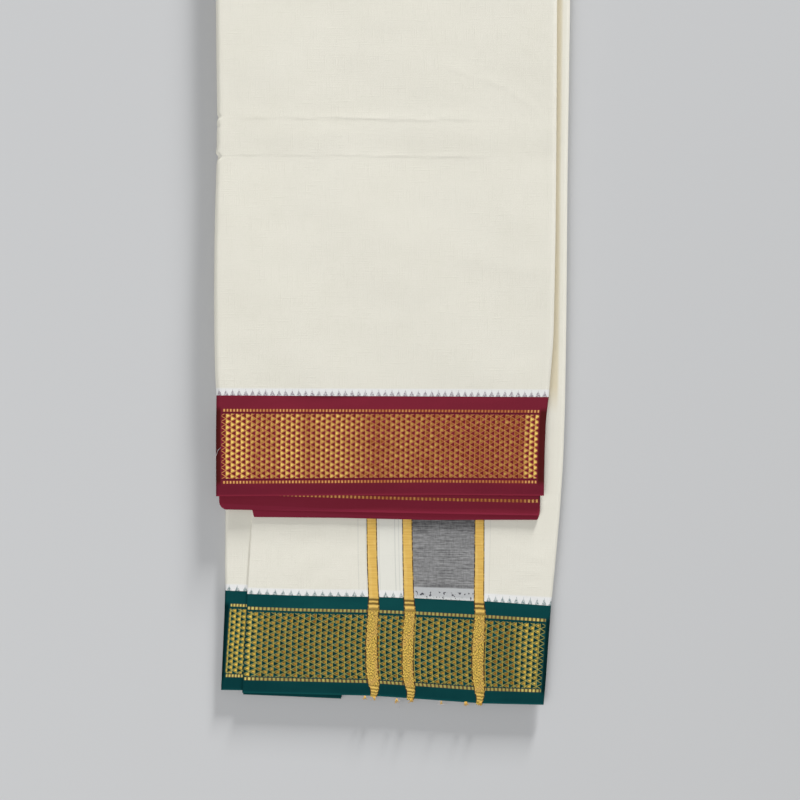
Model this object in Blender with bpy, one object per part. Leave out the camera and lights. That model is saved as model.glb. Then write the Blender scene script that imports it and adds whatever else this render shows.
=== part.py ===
"""A dhoti: one loom-woven cotton cloth, folded in half four times along its length
and then once across, lying flat with its maroon border over its green one.

Metres, +Z up. +Y runs from the green selvedge to the crosswise fold, +X to the right.
The origin is under the middle of the folded cloth, on the surface that it rests on.
"""

import math
from collections import namedtuple

import bmesh
import bpy
from mathutils import Vector

# Driving sizes, in metres

MM = 0.001
LEAF_WALL = 1.0 * MM
SEAM_GAP = 0.3 * MM
FOLD_RADIUS = 8.25 * MM
FOLD_CENTRE_Y = 348.6 * MM
FOLD_CENTRE_Z = FOLD_RADIUS
CLEARANCE = LEAF_WALL + SEAM_GAP

# Heights of the faces where hidden layers meet their leaves

LOWER_LEAF_TOP = 8.0 * MM
SECOND_LOWER_LEAF_TOP = 6.7 * MM
LOWER_LAYERS_FLOOR = CLEARANCE
UPPER_LAYERS_FLOOR = LOWER_LEAF_TOP + SEAM_GAP
THIRD_MAROON_TOP = UPPER_LAYERS_FLOOR + LEAF_WALL
SECOND_MAROON_TOP = THIRD_MAROON_TOP + CLEARANCE
MAROON_LAYERS_FLOOR = SECOND_MAROON_TOP + SEAM_GAP

# Places along the cloth where hidden stacks end, in millimetres

UPPER_STACK_END_Y = -137.8
MAROON_STACK_END_Y = -196.6
SELVEDGE_SETBACK = 2.2

# Mesh steps

CURL_STEPS = 5
FLAT_STEPS = 8
FOLD_STEPS = 14
LAYER_ANGLES = (-50, 0, 50)

# Each row is one section across the leaf, in millimetres: the two ends of its line,
# the height of its outer face, and the radius on which its left and right edges curl.

Section = namedtuple("Section", "left_x left_y right_x right_y top left_curl right_curl")

TOP_LEAF = (
    Section(-129.0, 348.3, 129.7, 348.3, 16.5, 3.6, 3.6),
    Section(-130.0, 322.0, 128.4, 322.0, 16.4, 3.6, 3.6),
    Section(-130.9, 292.0, 126.8, 292.0, 16.1, 3.6, 3.6),
    Section(-131.8, 252.0, 125.2, 252.0, 15.8, 3.6, 3.6),
    Section(-132.3, 212.0, 124.1, 212.0, 15.6, 3.6, 3.6),
    Section(-132.3, 172.3, 123.4, 172.3, 15.5, 3.6, 3.6),
    Section(-131.9, 128.0, 123.2, 128.0, 15.6, 3.6, 3.6),
    Section(-131.3, 86.0, 123.0, 86.0, 15.4, 3.6, 3.6),
    Section(-131.7, 70.0, 122.9, 70.0, 15.6, 3.6, 3.6),
    Section(-131.5, 54.5, 122.8, 54.5, 15.3, 3.6, 3.6),
    Section(-132.3, 37.3, 122.6, 37.3, 15.5, 3.6, 3.6),
    Section(-133.3, -8.0, 122.2, -8.0, 15.7, 3.6, 3.6),
    Section(-133.6, -46.0, 121.5, -46.0, 15.6, 3.6, 3.6),
    Section(-133.4, -82.7, 120.7, -82.7, 15.4, 3.6, 3.6),
    Section(-132.9, -108.0, 118.6, -109.0, 15.2, 3.5, 3.5),
    Section(-131.9, -124.6, 117.2, -125.8, 14.9, 3.4, 3.4),
)

MAROON_BORDER = (
    Section(-131.9, -124.9, 117.2, -126.1, 14.9, 3.4, 3.4),
    Section(-132.1, -140.5, 115.2, -140.5, 14.6, 3.2, 3.2),
    Section(-132.3, -157.7, 114.5, -157.7, 14.3, 2.9, 2.9),
    Section(-132.2, -172.7, 114.0, -172.7, 14.0, 2.6, 2.6),
    Section(-132.2, -187.0, 113.8, -186.8, 13.7, 2.4, 2.4),
    Section(-132.2, -199.8, 113.6, -199.4, 13.4, 2.2, 2.2),
)

SECOND_MAROON_LEAF = (
    Section(-129.8, -138.1, 111.4, -138.1, 10.6, 1.1, 1.1),
    Section(-130.0, -172.0, 111.0, -173.5, 10.6, 1.1, 1.1),
    Section(-130.0, -196.0, 110.8, -199.5, 10.6, 1.1, 1.1),
    Section(-130.0, -205.6, 110.7, -210.6, 10.6, 1.1, 1.1),
    Section(-129.3, -208.2, 110.6, -212.6, 10.6, 1.1, 1.1),
    Section(-127.6, -209.7, 110.2, -214.1, 10.6, 1.1, 1.1),
)

THIRD_MAROON_LEAF = (
    Section(-106.2, -138.1, 110.6, -138.1, 9.3, 1.1, 1.1),
    Section(-105.8, -175.0, 110.5, -176.0, 9.3, 1.1, 1.1),
    Section(-105.4, -209.0, 110.4, -213.4, 9.3, 1.1, 1.1),
    Section(-105.0, -213.0, 109.8, -215.6, 9.3, 1.1, 1.1),
    Section(-104.6, -215.5, 108.6, -217.6, 9.3, 1.1, 1.1),
)

LOWER_LEAF = (
    Section(-125.8, 354.8, 126.6, 354.8, 8.0, 1.1, 1.1),
    Section(-127.8, 352.4, 128.6, 352.4, 8.0, 1.1, 1.1),
    Section(-126.6, 322.0, 129.6, 322.0, 8.0, 1.1, 2.4),
    Section(-123.8, 282.0, 131.3, 282.0, 8.0, 1.1, 3.2),
    Section(-119.0, 232.0, 132.9, 232.0, 8.0, 1.1, 3.2),
    Section(-114.6, 172.3, 133.6, 172.3, 8.0, 1.1, 3.2),
    Section(-111.4, 110.0, 132.7, 110.0, 8.0, 1.1, 3.2),
    Section(-109.2, 37.3, 131.6, 37.3, 8.0, 1.1, 3.2),
    Section(-107.6, -25.0, 131.2, -25.0, 8.0, 1.1, 3.2),
    Section(-106.4, -82.7, 130.6, -82.7, 8.0, 1.1, 3.2),
    Section(-105.9, -135.0, 129.7, -135.0, 8.0, 1.1, 3.2),
    Section(-105.5, -176.5, 128.3, -176.5, 8.0, 1.1, 3.2),
    Section(-105.4, -215.5, 125.6, -215.5, 8.0, 1.1, 3.1),
    Section(-107.0, -240.0, 123.4, -240.5, 8.0, 1.1, 3.0),
    Section(-108.2, -260.0, 121.2, -264.0, 7.9, 1.1, 2.9),
    Section(-109.0, -273.1, 119.3, -282.1, 7.8, 1.1, 2.8),
)

GREEN_BORDER = (
    Section(-109.0, -273.4, 119.3, -282.4, 7.8, 1.1, 2.8),
    Section(-109.9, -292.4, 117.8, -302.2, 7.6, 1.1, 2.5),
    Section(-111.0, -311.0, 116.5, -321.0, 7.2, 1.1, 2.2),
    Section(-111.9, -329.5, 115.3, -339.0, 6.7, 1.1, 2.0),
    Section(-112.9, -347.7, 113.7, -356.8, 6.1, 1.1, 1.8),
)

SECOND_LOWER_LEAF = (
    Section(-124.8, 354.2, 125.4, 354.2, 6.7, 1.6, 1.6),
    Section(-126.8, 352.0, 127.4, 352.0, 6.7, 1.6, 1.6),
    Section(-126.9, 322.0, 127.6, 322.0, 6.7, 1.8, 1.6),
    Section(-126.4, 272.0, 128.6, 272.0, 6.7, 2.2, 1.6),
    Section(-124.9, 172.3, 130.4, 172.3, 6.7, 2.2, 1.6),
    Section(-124.7, 37.3, 128.8, 37.3, 6.7, 2.2, 1.6),
    Section(-124.8, -82.7, 127.6, -82.7, 6.7, 2.2, 1.6),
    Section(-125.0, -176.5, 125.4, -176.5, 6.7, 2.2, 1.6),
    Section(-125.0, -210.2, 122.8, -210.2, 6.7, 2.2, 1.6),
    Section(-125.9, -247.7, 119.8, -250.5, 6.7, 2.2, 1.6),
    Section(-125.6, -270.7, 116.2, -279.2, 6.5, 2.1, 1.6),
)

SECOND_GREEN_BORDER = (
    Section(-125.6, -271.0, 116.2, -279.5, 6.5, 2.1, 1.1),
    Section(-126.7, -296.5, 114.4, -304.0, 6.2, 2.0, 1.1),
    Section(-127.8, -320.8, 112.8, -327.0, 5.6, 1.8, 1.1),
    Section(-129.0, -345.2, 111.2, -349.0, 4.8, 1.6, 1.1),
)

PEEKING_GREEN_LEAF = (
    Section(-109.6, -284.0, -35.5, -284.0, 5.1, 1.1, 1.1),
    Section(-110.9, -317.0, -35.5, -318.0, 4.4, 1.1, 1.1),
    Section(-111.9, -342.0, -36.4, -344.5, 3.6, 1.1, 1.1),
    Section(-112.4, -349.2, -38.6, -352.4, 3.4, 1.1, 1.1),
)

UNDER_LEAF = (
    Section(-129.0, 348.3, 129.7, 348.3, 0.0, 1.6, 1.6),
    Section(-128.6, 312.0, 129.3, 312.0, 0.0, 1.6, 1.6),
    Section(-127.2, 252.0, 129.8, 252.0, 0.0, 1.6, 1.6),
    Section(-125.9, 172.3, 130.6, 172.3, 0.0, 1.6, 1.6),
    Section(-125.6, 37.3, 129.0, 37.3, 0.0, 1.6, 1.6),
    Section(-125.7, -82.7, 127.8, -82.7, 0.0, 1.6, 1.6),
    Section(-125.9, -176.5, 125.6, -176.5, 0.0, 1.6, 1.6),
    Section(-125.8, -220.0, 121.8, -222.0, 0.0, 1.6, 1.6),
    Section(-126.0, -266.0, 116.6, -274.0, 0.0, 1.6, 1.6),
)

UNDER_GREEN_BORDER = (
    Section(-126.0, -266.3, 116.6, -274.3, 0.0, 1.6, 1.6),
    Section(-127.0, -303.0, 113.8, -310.0, 0.0, 1.6, 1.6),
    Section(-128.2, -341.4, 111.0, -346.2, 0.0, 1.6, 1.6),
)

# Each row is one bundle of folded layers, from the lowest up: how far its rounded
# edge stands back from the leaf's edge on the left and on the right, in millimetres.

Bundle = namedtuple("Bundle", "left_inset right_inset")

UPPER_BUNDLES = (
    Bundle(1.0, 1.7),
    Bundle(0.3, 0.6),
    Bundle(1.2, 1.3),
    Bundle(1.8, 1.7),
    Bundle(2.7, 2.8),
)

MAROON_BUNDLES = (
    Bundle(1.5, 1.9),
    Bundle(1.7, 1.6),
    Bundle(2.5, 2.6),
)

LOWER_BUNDLES = (
    Bundle(0.6, 1.4),
    Bundle(1.1, 0.4),
    Bundle(0.4, 1.2),
    Bundle(1.8, 1.0),
)

GREEN_BUNDLES = (
    Bundle(0.5, 1.2),
    Bundle(1.2, 0.6),
    Bundle(1.9, 1.4),
)

# Each row is one end section of a hidden stack inside the crosswise fold: its angle
# round the fold, in degrees, and how far its sides draw in, in millimetres.

FoldEnd = namedtuple("FoldEnd", "angle draw_in")

UPPER_FOLD_END = (FoldEnd(70, 2.6), FoldEnd(55, 2.3), FoldEnd(36, 1.5), FoldEnd(16, 0.6))
LOWER_FOLD_END = (FoldEnd(50, 2.6), FoldEnd(36, 1.9), FoldEnd(18, 0.8))

# Colours and the way that each edge turns

CREAM = (0.76, 0.73, 0.64, 1.0)
MAROON = (0.19, 0.017, 0.035, 1.0)
GREEN = (0.006, 0.055, 0.055, 1.0)
CLOTH_ROUGHNESS = 0.85
BORDER_ROUGHNESS = 0.7

Turn = namedtuple("Turn", "left right")

WRAPPED = Turn(90, 90)
LAID = Turn(50, 50)
LOWER_TURN = Turn(50, 85)
SECOND_LOWER_TURN = Turn(80, 50)
TURNED_UP = Turn(40, 40)

UP = Vector((0, 0, 1))
DOWN = Vector((0, 0, -1))
BACK = Vector((0, 1, 0))


def clear_scene():
    for item in list(bpy.data.objects):
        bpy.data.objects.remove(item, do_unlink=True)


def cloth_material(name, colour, roughness):
    material = bpy.data.materials.new(name)
    material.use_nodes = True
    shader = material.node_tree.nodes["Principled BSDF"]
    shader.inputs["Base Color"].default_value = colour
    shader.inputs["Roughness"].default_value = roughness
    shader.inputs["Metallic"].default_value = 0.0
    return material


def edge_profile(width, curls, turn):
    """Distances along a section and drops of its outer face, from left to right."""
    left_radius, right_radius = curls
    left_reach = left_radius * math.sin(math.radians(turn.left))
    right_reach = right_radius * math.sin(math.radians(turn.right))
    profile = []
    for step in range(CURL_STEPS):
        angle = math.radians(turn.left) * (1 - step / CURL_STEPS)
        along = left_reach - left_radius * math.sin(angle)
        profile.append((along, left_radius * (1 - math.cos(angle))))
    flat = width - left_reach - right_reach
    for step in range(FLAT_STEPS + 1):
        profile.append((left_reach + flat * step / FLAT_STEPS, 0.0))
    for step in range(1, CURL_STEPS + 1):
        angle = math.radians(turn.right) * step / CURL_STEPS
        along = width - right_reach + right_radius * math.sin(angle)
        profile.append((along, right_radius * (1 - math.cos(angle))))
    return profile


def leaf_row(section, turn, drop_sign):
    """The points of one section across a leaf's outer face."""
    left = Vector((section.left_x, section.left_y, section.top)) * MM
    right = Vector((section.right_x, section.right_y, section.top)) * MM
    span = right - left
    direction = span.normalized()
    curls = (section.left_curl * MM, section.right_curl * MM)
    row = []
    for along, drop in edge_profile(span.length, curls, turn):
        row.append(left + direction * along + UP * drop * drop_sign)
    return row


def fold_row(angle):
    """The points of one line across the outer face of the crosswise fold."""
    start = TOP_LEAF[0]
    end = UNDER_LEAF[0]
    share = angle / 180
    left_x = start.left_x * MM
    width = (start.right_x - start.left_x) * MM
    curl = (start.left_curl * (1 - share) + end.left_curl * share) * MM
    degrees = WRAPPED.left * (1 - share) + TURNED_UP.left * share
    sine = math.sin(math.radians(angle))
    cosine = math.cos(math.radians(angle))
    row = []
    for along, drop in edge_profile(width, (curl, curl), Turn(degrees, degrees)):
        radius = FOLD_RADIUS - drop
        y = FOLD_CENTRE_Y + radius * sine
        z = FOLD_CENTRE_Z + radius * cosine
        row.append(Vector((left_x + along, y, z)))
    return row


def finish_object(name, mesh, material):
    item = bpy.data.objects.new(name, mesh)
    bpy.context.scene.collection.objects.link(item)
    mesh.materials.append(material)
    mesh.shade_smooth()
    mesh.set_sharp_from_angle(angle=math.radians(40))
    return item


def sheet(name, rows, outward, material):
    """A leaf: its outer face as a grid through the rows, with its wall behind it."""
    shape = bmesh.new()
    grid = [[shape.verts.new(point) for point in row] for row in rows]
    for near, far in zip(grid, grid[1:]):
        for column in range(len(near) - 1):
            corners = (near[column], near[column + 1], far[column + 1], far[column])
            shape.faces.new(corners)
    shape.normal_update()
    shape.faces.ensure_lookup_table()
    middle = shape.faces[len(shape.faces) // 2]
    if middle.normal.dot(outward) < 0:
        bmesh.ops.reverse_faces(shape, faces=shape.faces)
    mesh = bpy.data.meshes.new(name)
    shape.to_mesh(mesh)
    shape.free()
    item = finish_object(name, mesh, material)
    wall = item.modifiers.new("Wall", "SOLIDIFY")
    wall.thickness = LEAF_WALL
    wall.offset = -1.0
    wall.use_even_offset = True
    return item


def leaf(name, sections, turn, material):
    rows = [leaf_row(section, turn, -1) for section in sections]
    return sheet(name, rows, UP, material)


def bundle_edge(insets, floor, top):
    """Distances in from the edge and heights of a stack's layered side, floor to top."""
    height = (top - floor) / len(insets)
    radius = height / 2
    points = [(insets[0] + radius, floor)]
    for index, inset in enumerate(insets):
        centre = floor + height * (index + 0.5)
        for degrees in LAYER_ANGLES:
            angle = math.radians(degrees)
            points.append((inset + radius * (1 - math.cos(angle)), centre + radius * math.sin(angle)))
        neighbour = insets[min(index + 1, len(insets) - 1)]
        points.append((max(inset, neighbour) + radius, floor + height * (index + 1)))
    return points


def stack_row(section, bundles, floor, top, draw_in):
    """The left and right side points of one section of a hidden stack."""
    left = Vector((section.left_x, section.left_y, 0)) * MM
    right = Vector((section.right_x, section.right_y, 0)) * MM
    direction = (right - left).normalized()
    left_insets = [bundle.left_inset * MM + draw_in for bundle in bundles]
    right_insets = [bundle.right_inset * MM + draw_in for bundle in bundles]
    left_side = bundle_edge(left_insets, floor, top)
    right_side = bundle_edge(right_insets, floor, top)
    lefts = [left + direction * inset + UP * height for inset, height in left_side]
    rights = [right - direction * inset + UP * height for inset, height in right_side]
    return lefts, rights


def layered_stack(name, rows, material):
    """A closed solid lofted through the rows, with its folds showing at both sides."""
    shape = bmesh.new()
    rings = []
    for lefts, rights in rows:
        points = lefts + rights[::-1]
        rings.append([shape.verts.new(point) for point in points])
    count = len(rings[0])
    for near, far in zip(rings, rings[1:]):
        for index in range(count):
            after = (index + 1) % count
            shape.faces.new((near[index], near[after], far[after], far[index]))
    for ring in (rings[0], rings[-1]):
        for index in range(count // 2 - 1):
            opposite = count - 1 - index
            shape.faces.new((ring[index], ring[opposite], ring[opposite - 1], ring[index + 1]))
    bmesh.ops.recalc_face_normals(shape, faces=shape.faces)
    mesh = bpy.data.meshes.new(name)
    shape.to_mesh(mesh)
    shape.free()
    return finish_object(name, mesh, material)


def section_at(sections, y):
    """One straight section across a leaf at y, read between the rows of its table."""
    for near, far in zip(sections, sections[1:]):
        if near.left_y >= y >= far.left_y:
            share = (near.left_y - y) / (near.left_y - far.left_y)
            mixed = [a + (b - a) * share for a, b in zip(near, far)]
            return Section(*mixed)._replace(left_y=y, right_y=y)
    return None


def stack_rows(sections, bundles, floor, depth):
    """Rows of a stack that keeps a depth below the outer face of the leaf on it."""
    rows = []
    for section in sections:
        top = section.top * MM - depth
        rows.append(stack_row(section, bundles, floor, top, 0.0))
    return rows


def folded_end_rows(section, bundles, ends, upper):
    """End rows of a stack that rounds off inside the crosswise fold."""
    reach = FOLD_RADIUS - CLEARANCE
    rows = []
    for end in ends:
        angle = math.radians(end.angle)
        y = (FOLD_CENTRE_Y + reach * math.sin(angle)) / MM
        end_section = section._replace(left_y=y, right_y=y)
        rise = reach * math.cos(angle)
        floor = UPPER_LAYERS_FLOOR if upper else FOLD_CENTRE_Z - rise
        top = FOLD_CENTRE_Z + rise if upper else SECOND_LOWER_LEAF_TOP - CLEARANCE
        rows.append(stack_row(end_section, bundles, floor, top, end.draw_in * MM))
    return rows


def build_outer_leaf(cream, maroon, green):
    leaf("top_leaf_body", TOP_LEAF, WRAPPED, cream)
    leaf("top_leaf_maroon_border", MAROON_BORDER, WRAPPED, maroon)
    angles = [180 * step / FOLD_STEPS for step in range(FOLD_STEPS + 1)]
    sheet("top_fold", [fold_row(angle) for angle in angles], BACK, cream)
    body_rows = [leaf_row(section, TURNED_UP, 1) for section in UNDER_LEAF]
    sheet("under_leaf_body", body_rows, DOWN, cream)
    border_rows = [leaf_row(section, TURNED_UP, 1) for section in UNDER_GREEN_BORDER]
    sheet("under_leaf_green_border", border_rows, DOWN, green)


def build_inner_leaves(cream, maroon, green):
    leaf("second_maroon_leaf", SECOND_MAROON_LEAF, LAID, maroon)
    leaf("third_maroon_leaf", THIRD_MAROON_LEAF, LAID, maroon)
    leaf("lower_leaf_body", LOWER_LEAF, LOWER_TURN, cream)
    leaf("lower_leaf_green_border", GREEN_BORDER, LOWER_TURN, green)
    leaf("second_lower_leaf_body", SECOND_LOWER_LEAF, SECOND_LOWER_TURN, cream)
    leaf("second_lower_leaf_green_border", SECOND_GREEN_BORDER, SECOND_LOWER_TURN, green)
    leaf("peeking_green_leaf", PEEKING_GREEN_LEAF, LAID, green)


def build_upper_layers(cream, maroon):
    rows = folded_end_rows(TOP_LEAF[0], UPPER_BUNDLES, UPPER_FOLD_END, True)
    sections = list(TOP_LEAF) + [section_at(MAROON_BORDER, UPPER_STACK_END_Y)]
    rows += stack_rows(sections, UPPER_BUNDLES, UPPER_LAYERS_FLOOR, CLEARANCE)
    layered_stack("upper_hidden_layers", rows, cream)

    start = section_at(MAROON_BORDER, UPPER_STACK_END_Y - SEAM_GAP / MM)
    end = section_at(MAROON_BORDER, MAROON_STACK_END_Y)
    sections = [start] + list(MAROON_BORDER[1:-1]) + [end]
    rows = stack_rows(sections, MAROON_BUNDLES, MAROON_LAYERS_FLOOR, CLEARANCE)
    layered_stack("maroon_hidden_layers", rows, maroon)


def build_lower_layers(cream, green):
    start = section_at(SECOND_LOWER_LEAF, FOLD_CENTRE_Y / MM)
    rows = folded_end_rows(start, LOWER_BUNDLES, LOWER_FOLD_END, False)
    inside_fold = [section for section in SECOND_LOWER_LEAF if section.left_y > start.left_y]
    sections = [start] + list(SECOND_LOWER_LEAF[len(inside_fold):])
    rows += stack_rows(sections, LOWER_BUNDLES, LOWER_LAYERS_FLOOR, CLEARANCE)
    layered_stack("lower_hidden_layers", rows, cream)

    selvedge = SECOND_GREEN_BORDER[-1]
    end = selvedge._replace(
        left_y=selvedge.left_y + SELVEDGE_SETBACK,
        right_y=selvedge.right_y + SELVEDGE_SETBACK,
    )
    sections = list(SECOND_GREEN_BORDER[:-1]) + [end]
    rows = stack_rows(sections, GREEN_BUNDLES, LOWER_LAYERS_FLOOR, 2 * CLEARANCE)
    layered_stack("green_hidden_layers", rows, green)


def main():
    clear_scene()
    cream = cloth_material("cream_cotton", CREAM, CLOTH_ROUGHNESS)
    maroon = cloth_material("maroon_border", MAROON, BORDER_ROUGHNESS)
    green = cloth_material("green_border", GREEN, BORDER_ROUGHNESS)
    build_outer_leaf(cream, maroon, green)
    build_inner_leaves(cream, maroon, green)
    build_upper_layers(cream, maroon)
    build_lower_layers(cream, green)


main()
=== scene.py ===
"""The looks of the folded dhoti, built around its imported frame.

Every stretch of cloth is a thin closed shell that follows the form of its CAD solid. Sizes in
the tables are millimetres, in the frame of the part: +X right, +Y towards the crosswise fold,
+Z up. The camera looks straight down, as in the photograph.
"""

import math
from collections import namedtuple

import bmesh
import bpy
import numpy as np
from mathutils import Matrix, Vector

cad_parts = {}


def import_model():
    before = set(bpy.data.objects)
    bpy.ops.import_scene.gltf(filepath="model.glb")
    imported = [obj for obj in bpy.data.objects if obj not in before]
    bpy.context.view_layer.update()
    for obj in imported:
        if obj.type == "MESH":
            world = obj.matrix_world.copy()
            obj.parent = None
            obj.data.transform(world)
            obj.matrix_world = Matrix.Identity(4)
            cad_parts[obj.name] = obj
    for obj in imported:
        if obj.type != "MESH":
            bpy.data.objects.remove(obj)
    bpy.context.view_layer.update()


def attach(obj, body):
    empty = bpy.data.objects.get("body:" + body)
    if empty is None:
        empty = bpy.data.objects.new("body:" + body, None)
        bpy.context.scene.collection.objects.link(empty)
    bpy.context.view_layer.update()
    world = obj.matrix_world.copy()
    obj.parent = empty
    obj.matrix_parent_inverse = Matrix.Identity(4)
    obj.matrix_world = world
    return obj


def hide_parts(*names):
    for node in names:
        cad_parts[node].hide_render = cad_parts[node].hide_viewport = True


MM = 0.001

# Driving sizes, in millimetres

CLOTH = 0.5
RIBBON = 0.14
BORDER_DEPTH = 74.6
STRIP_DEPTH = 6.0
FOLD_RADIUS = 8.25
FOLD_Y = 348.6
FOLD_Z = 8.25
BOW_FADE = 60.0
EDGE_CALM = 3.0
EDGE_RISE = 8.0
CREASE_FADE = 18.0
SELVEDGE_RIM = 0.10
UPPER_FLOOR = 10.9
UPPER_CLEAR = 1.0
UPPER_END = -137.8
LOWER_FLOOR = 0.9
LOWER_PITCH = 1.14
LOWER_LEAF = 0.95
FLOOR_Z = -0.4

# Counts, the share of its room that a hidden leaf fills, and the angle that counts as sharp

CURL_STEPS = 6
FLAT_STEPS = 14
ROUND_STEPS = 5
TUBE_SIDES = 6
FOLDED_LAYERS = 4
BORDER_LEAVES = 3
LEAF_SHARE = 0.84
SHARP = math.radians(48)

# Colours, as they look on a screen (sRGB, 0 to 255)

CREAM = (238, 235, 222)
CREAM_SHADE = (232, 229, 214)
STRIP_WHITE = (240, 240, 238)
MAROON = (123, 38, 54)
MAROON_LIGHT = (138, 42, 60)
MAROON_DARK = (82, 20, 38)
MAROON_FIELD = (116, 34, 38)
# Painted shade where the maroon border's side edges curl over
MAROON_CURL_SHADE = (72, 26, 20)
GREEN = (13, 68, 70)
GREEN_LIGHT = (20, 82, 82)
GREEN_DARK = (4, 40, 44)
GREEN_FIELD = (14, 46, 44)
# Painted shade where the green border's side edges curl over
GREEN_CURL_SHADE = (2, 30, 32)
GOLD_BRIGHT = (255, 220, 116)
GOLD_DULL = (152, 87, 40)
GOLD_LINE_DULL = (194, 118, 68)
GOLD_LINE_BRIGHT = (244, 180, 102)
GOLD_DASH = (190, 114, 64)
GOLD_DASH_BRIGHT = (240, 180, 108)
OLIVE_GOLD = (158, 106, 32)
OLIVE_BRIGHT = (244, 202, 84)
OLIVE_LINE = (166, 156, 70)
OLIVE_LINE_BRIGHT = (220, 202, 98)
OLIVE_DASH = (158, 150, 86)
OLIVE_DASH_BRIGHT = (224, 206, 116)
STRIPE_GOLD = (243, 202, 106)
STRIPE_PALE = (250, 218, 136)
STRIPE_SHADE = (214, 160, 72)
STRIPE_EDGE = (64, 36, 18)
STRIPE_OLIVE = (100, 78, 30)
WOVEN_DARK = (92, 64, 12)
WOVEN_LIGHT = (255, 216, 104)
WOVEN_PINK = (204, 154, 96)
GREY_DARK = (88, 88, 89)
GREY_LIGHT = (176, 176, 176)
LAVENDER = (193, 195, 196)
FLECK = (44, 40, 52)
MAUVE = (132, 116, 130)
TEAL_GREY = (100, 126, 128)
SLUB_SHADE = (192, 188, 172)
GREY_BLUE = (150, 150, 172)
GREY_BROWN = (112, 104, 98)
LAVENDER_LIGHT = (212, 215, 214)
WHITER = (236, 238, 232)
FAINT_GREY = (118, 126, 128)
WARM_SHADE = (216, 197, 150)
# Colour of the painted highlights on the rolls of the end stripes
STRIPE_ROLL = (244, 204, 106)
MAROON_BRIGHT = (146, 46, 68)
TUFT_GOLD = (255, 216, 104)
TUFT_SHADE = (208, 150, 58)
LOOSE_PALE = (226, 220, 220)
LOOSE_SHADE = (180, 168, 172)
FLOOR_GREY = (206, 207, 208)

MAROON_SLOT = "maroon_zari_border"
GREEN_SLOT = "green_zari_border"

# Tables of rows across the cloth. A row has the X and Y of its left end and of its right end,
# then its height and the radius of its left and its right curl. What a row leaves out is the
# default of its table. A face that looks up has angle 0 and one that looks down has 180.

ROUND = (90, 90)
LAID = (50, 50)
LOWER_TURN = (50, 85)
FOLD_TURN = (50, 70)
SECOND_TURN = (80, 50)
DOWN_TURN = (40, 40)
BACK_TURN = (30, 30)


def table(angle, turns, default, *rows):
    """Full rows: both ends, height, angle, both curls, and how far each side edge turns."""
    full = [row + default[len(row) - 4 :] for row in rows]
    return tuple((*row[:5], angle, *row[5:], *turns) for row in full)


# The outermost leaf from the white strip over the fold to the green border underneath

TOP_BODY = table(0, ROUND, (15.6, 3.6, 3.6),
    (-131.9, -124.25, 117.2, -125.45, 14.9, 3.4, 3.4),
    (-132.9, -108, 118.6, -109, 15.2, 3.5, 3.5),
    (-133.4, -82.7, 120.7, -82.7, 15.4),
    (-133.6, -46, 121.5, -46),
    (-133.3, -8, 122.2, -8, 15.7),
    (-132.3, 37.3, 122.6, 37.3, 15.5),
    (-131.5, 54.5, 122.8, 54.5, 15.3),
    (-131.7, 70, 122.9, 70),
    (-131.3, 86, 123, 86, 15.4),
    (-131.9, 128, 123.2, 128),
    (-132.3, 172.3, 123.4, 172.3, 15.5),
    (-132.3, 212, 124.1, 212),
    (-131.8, 252, 125.2, 252, 15.8),
    (-130.9, 292, 126.8, 292, 16.1),
    (-130, 322, 128.4, 322, 16.4),
    (-129, FOLD_Y, 129.7, FOLD_Y, 16.5),
)

UNDER_BODY = table(180, DOWN_TURN, (0, 1.6, 1.6),
    (-129, FOLD_Y, 129.7, FOLD_Y),
    (-128.6, 312, 129.3, 312),
    (-127.2, 252, 129.8, 252),
    (-125.9, 172.3, 130.6, 172.3),
    (-125.6, 37.3, 129, 37.3),
    (-125.7, -82.7, 127.8, -82.7),
    (-125.9, -176.5, 125.6, -176.5),
    (-125.8, -220, 121.8, -222),
    (-126, -266.1, 116.6, -274.1),
)

MAROON_BORDER = TOP_BODY[:1] + table(0, ROUND, (14, 3.2, 3.2),
    (-132.1, -140.1, 115.2, -140.9, 14.6),
    (-132.3, -157.7, 114.5, -157.7, 14.3, 2.9, 2.9),
    (-132.2, -172.7, 114, -172.7, 14, 2.6, 2.6),
    (-132.2, -187, 113.8, -186.8, 13.7, 2.4, 2.4),
    (-132.2, -199.8, 113.6, -199.4, 13.4, 2.2, 2.2),
)

UNDER_BORDER = UNDER_BODY[-1:] + table(180, DOWN_TURN, (0, 1.6, 1.6),
    (-127, -303, 113.8, -310),
    (-128.2, -341.4, 111, -346.2),
)

# The two maroon edges that step out below the outermost leaf

SECOND_MAROON = table(0, LAID, (10.6, 1.1, 1.1),
    (-129.8, -138.1, 111.4, -138.1),
    (-130, -172, 111, -173.5),
    (-130, -196, 110.8, -199.5),
    (-130, -205, 110.7, -210.4),
    (-129.4, -207.6, 110.6, -212.4),
    (-127.4, -209.4, 110.2, -213.9),
    (-125.6, -209.8, 109.8, -214.3),
)

THIRD_MAROON = table(0, LAID, (9.3, 1.1, 1.1),
    (-106.2, -138.1, 110.6, -138.1),
    (-105.8, -175, 110.5, -176),
    (-105.6, -209, 110.4, -213.4),
    (-104.6, -213, 109.8, -215.6),
    (-103.8, -215.5, 108.6, -217.6),
)

# The leaf with the end stripes, from its white strip up to the tight inner fold

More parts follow.
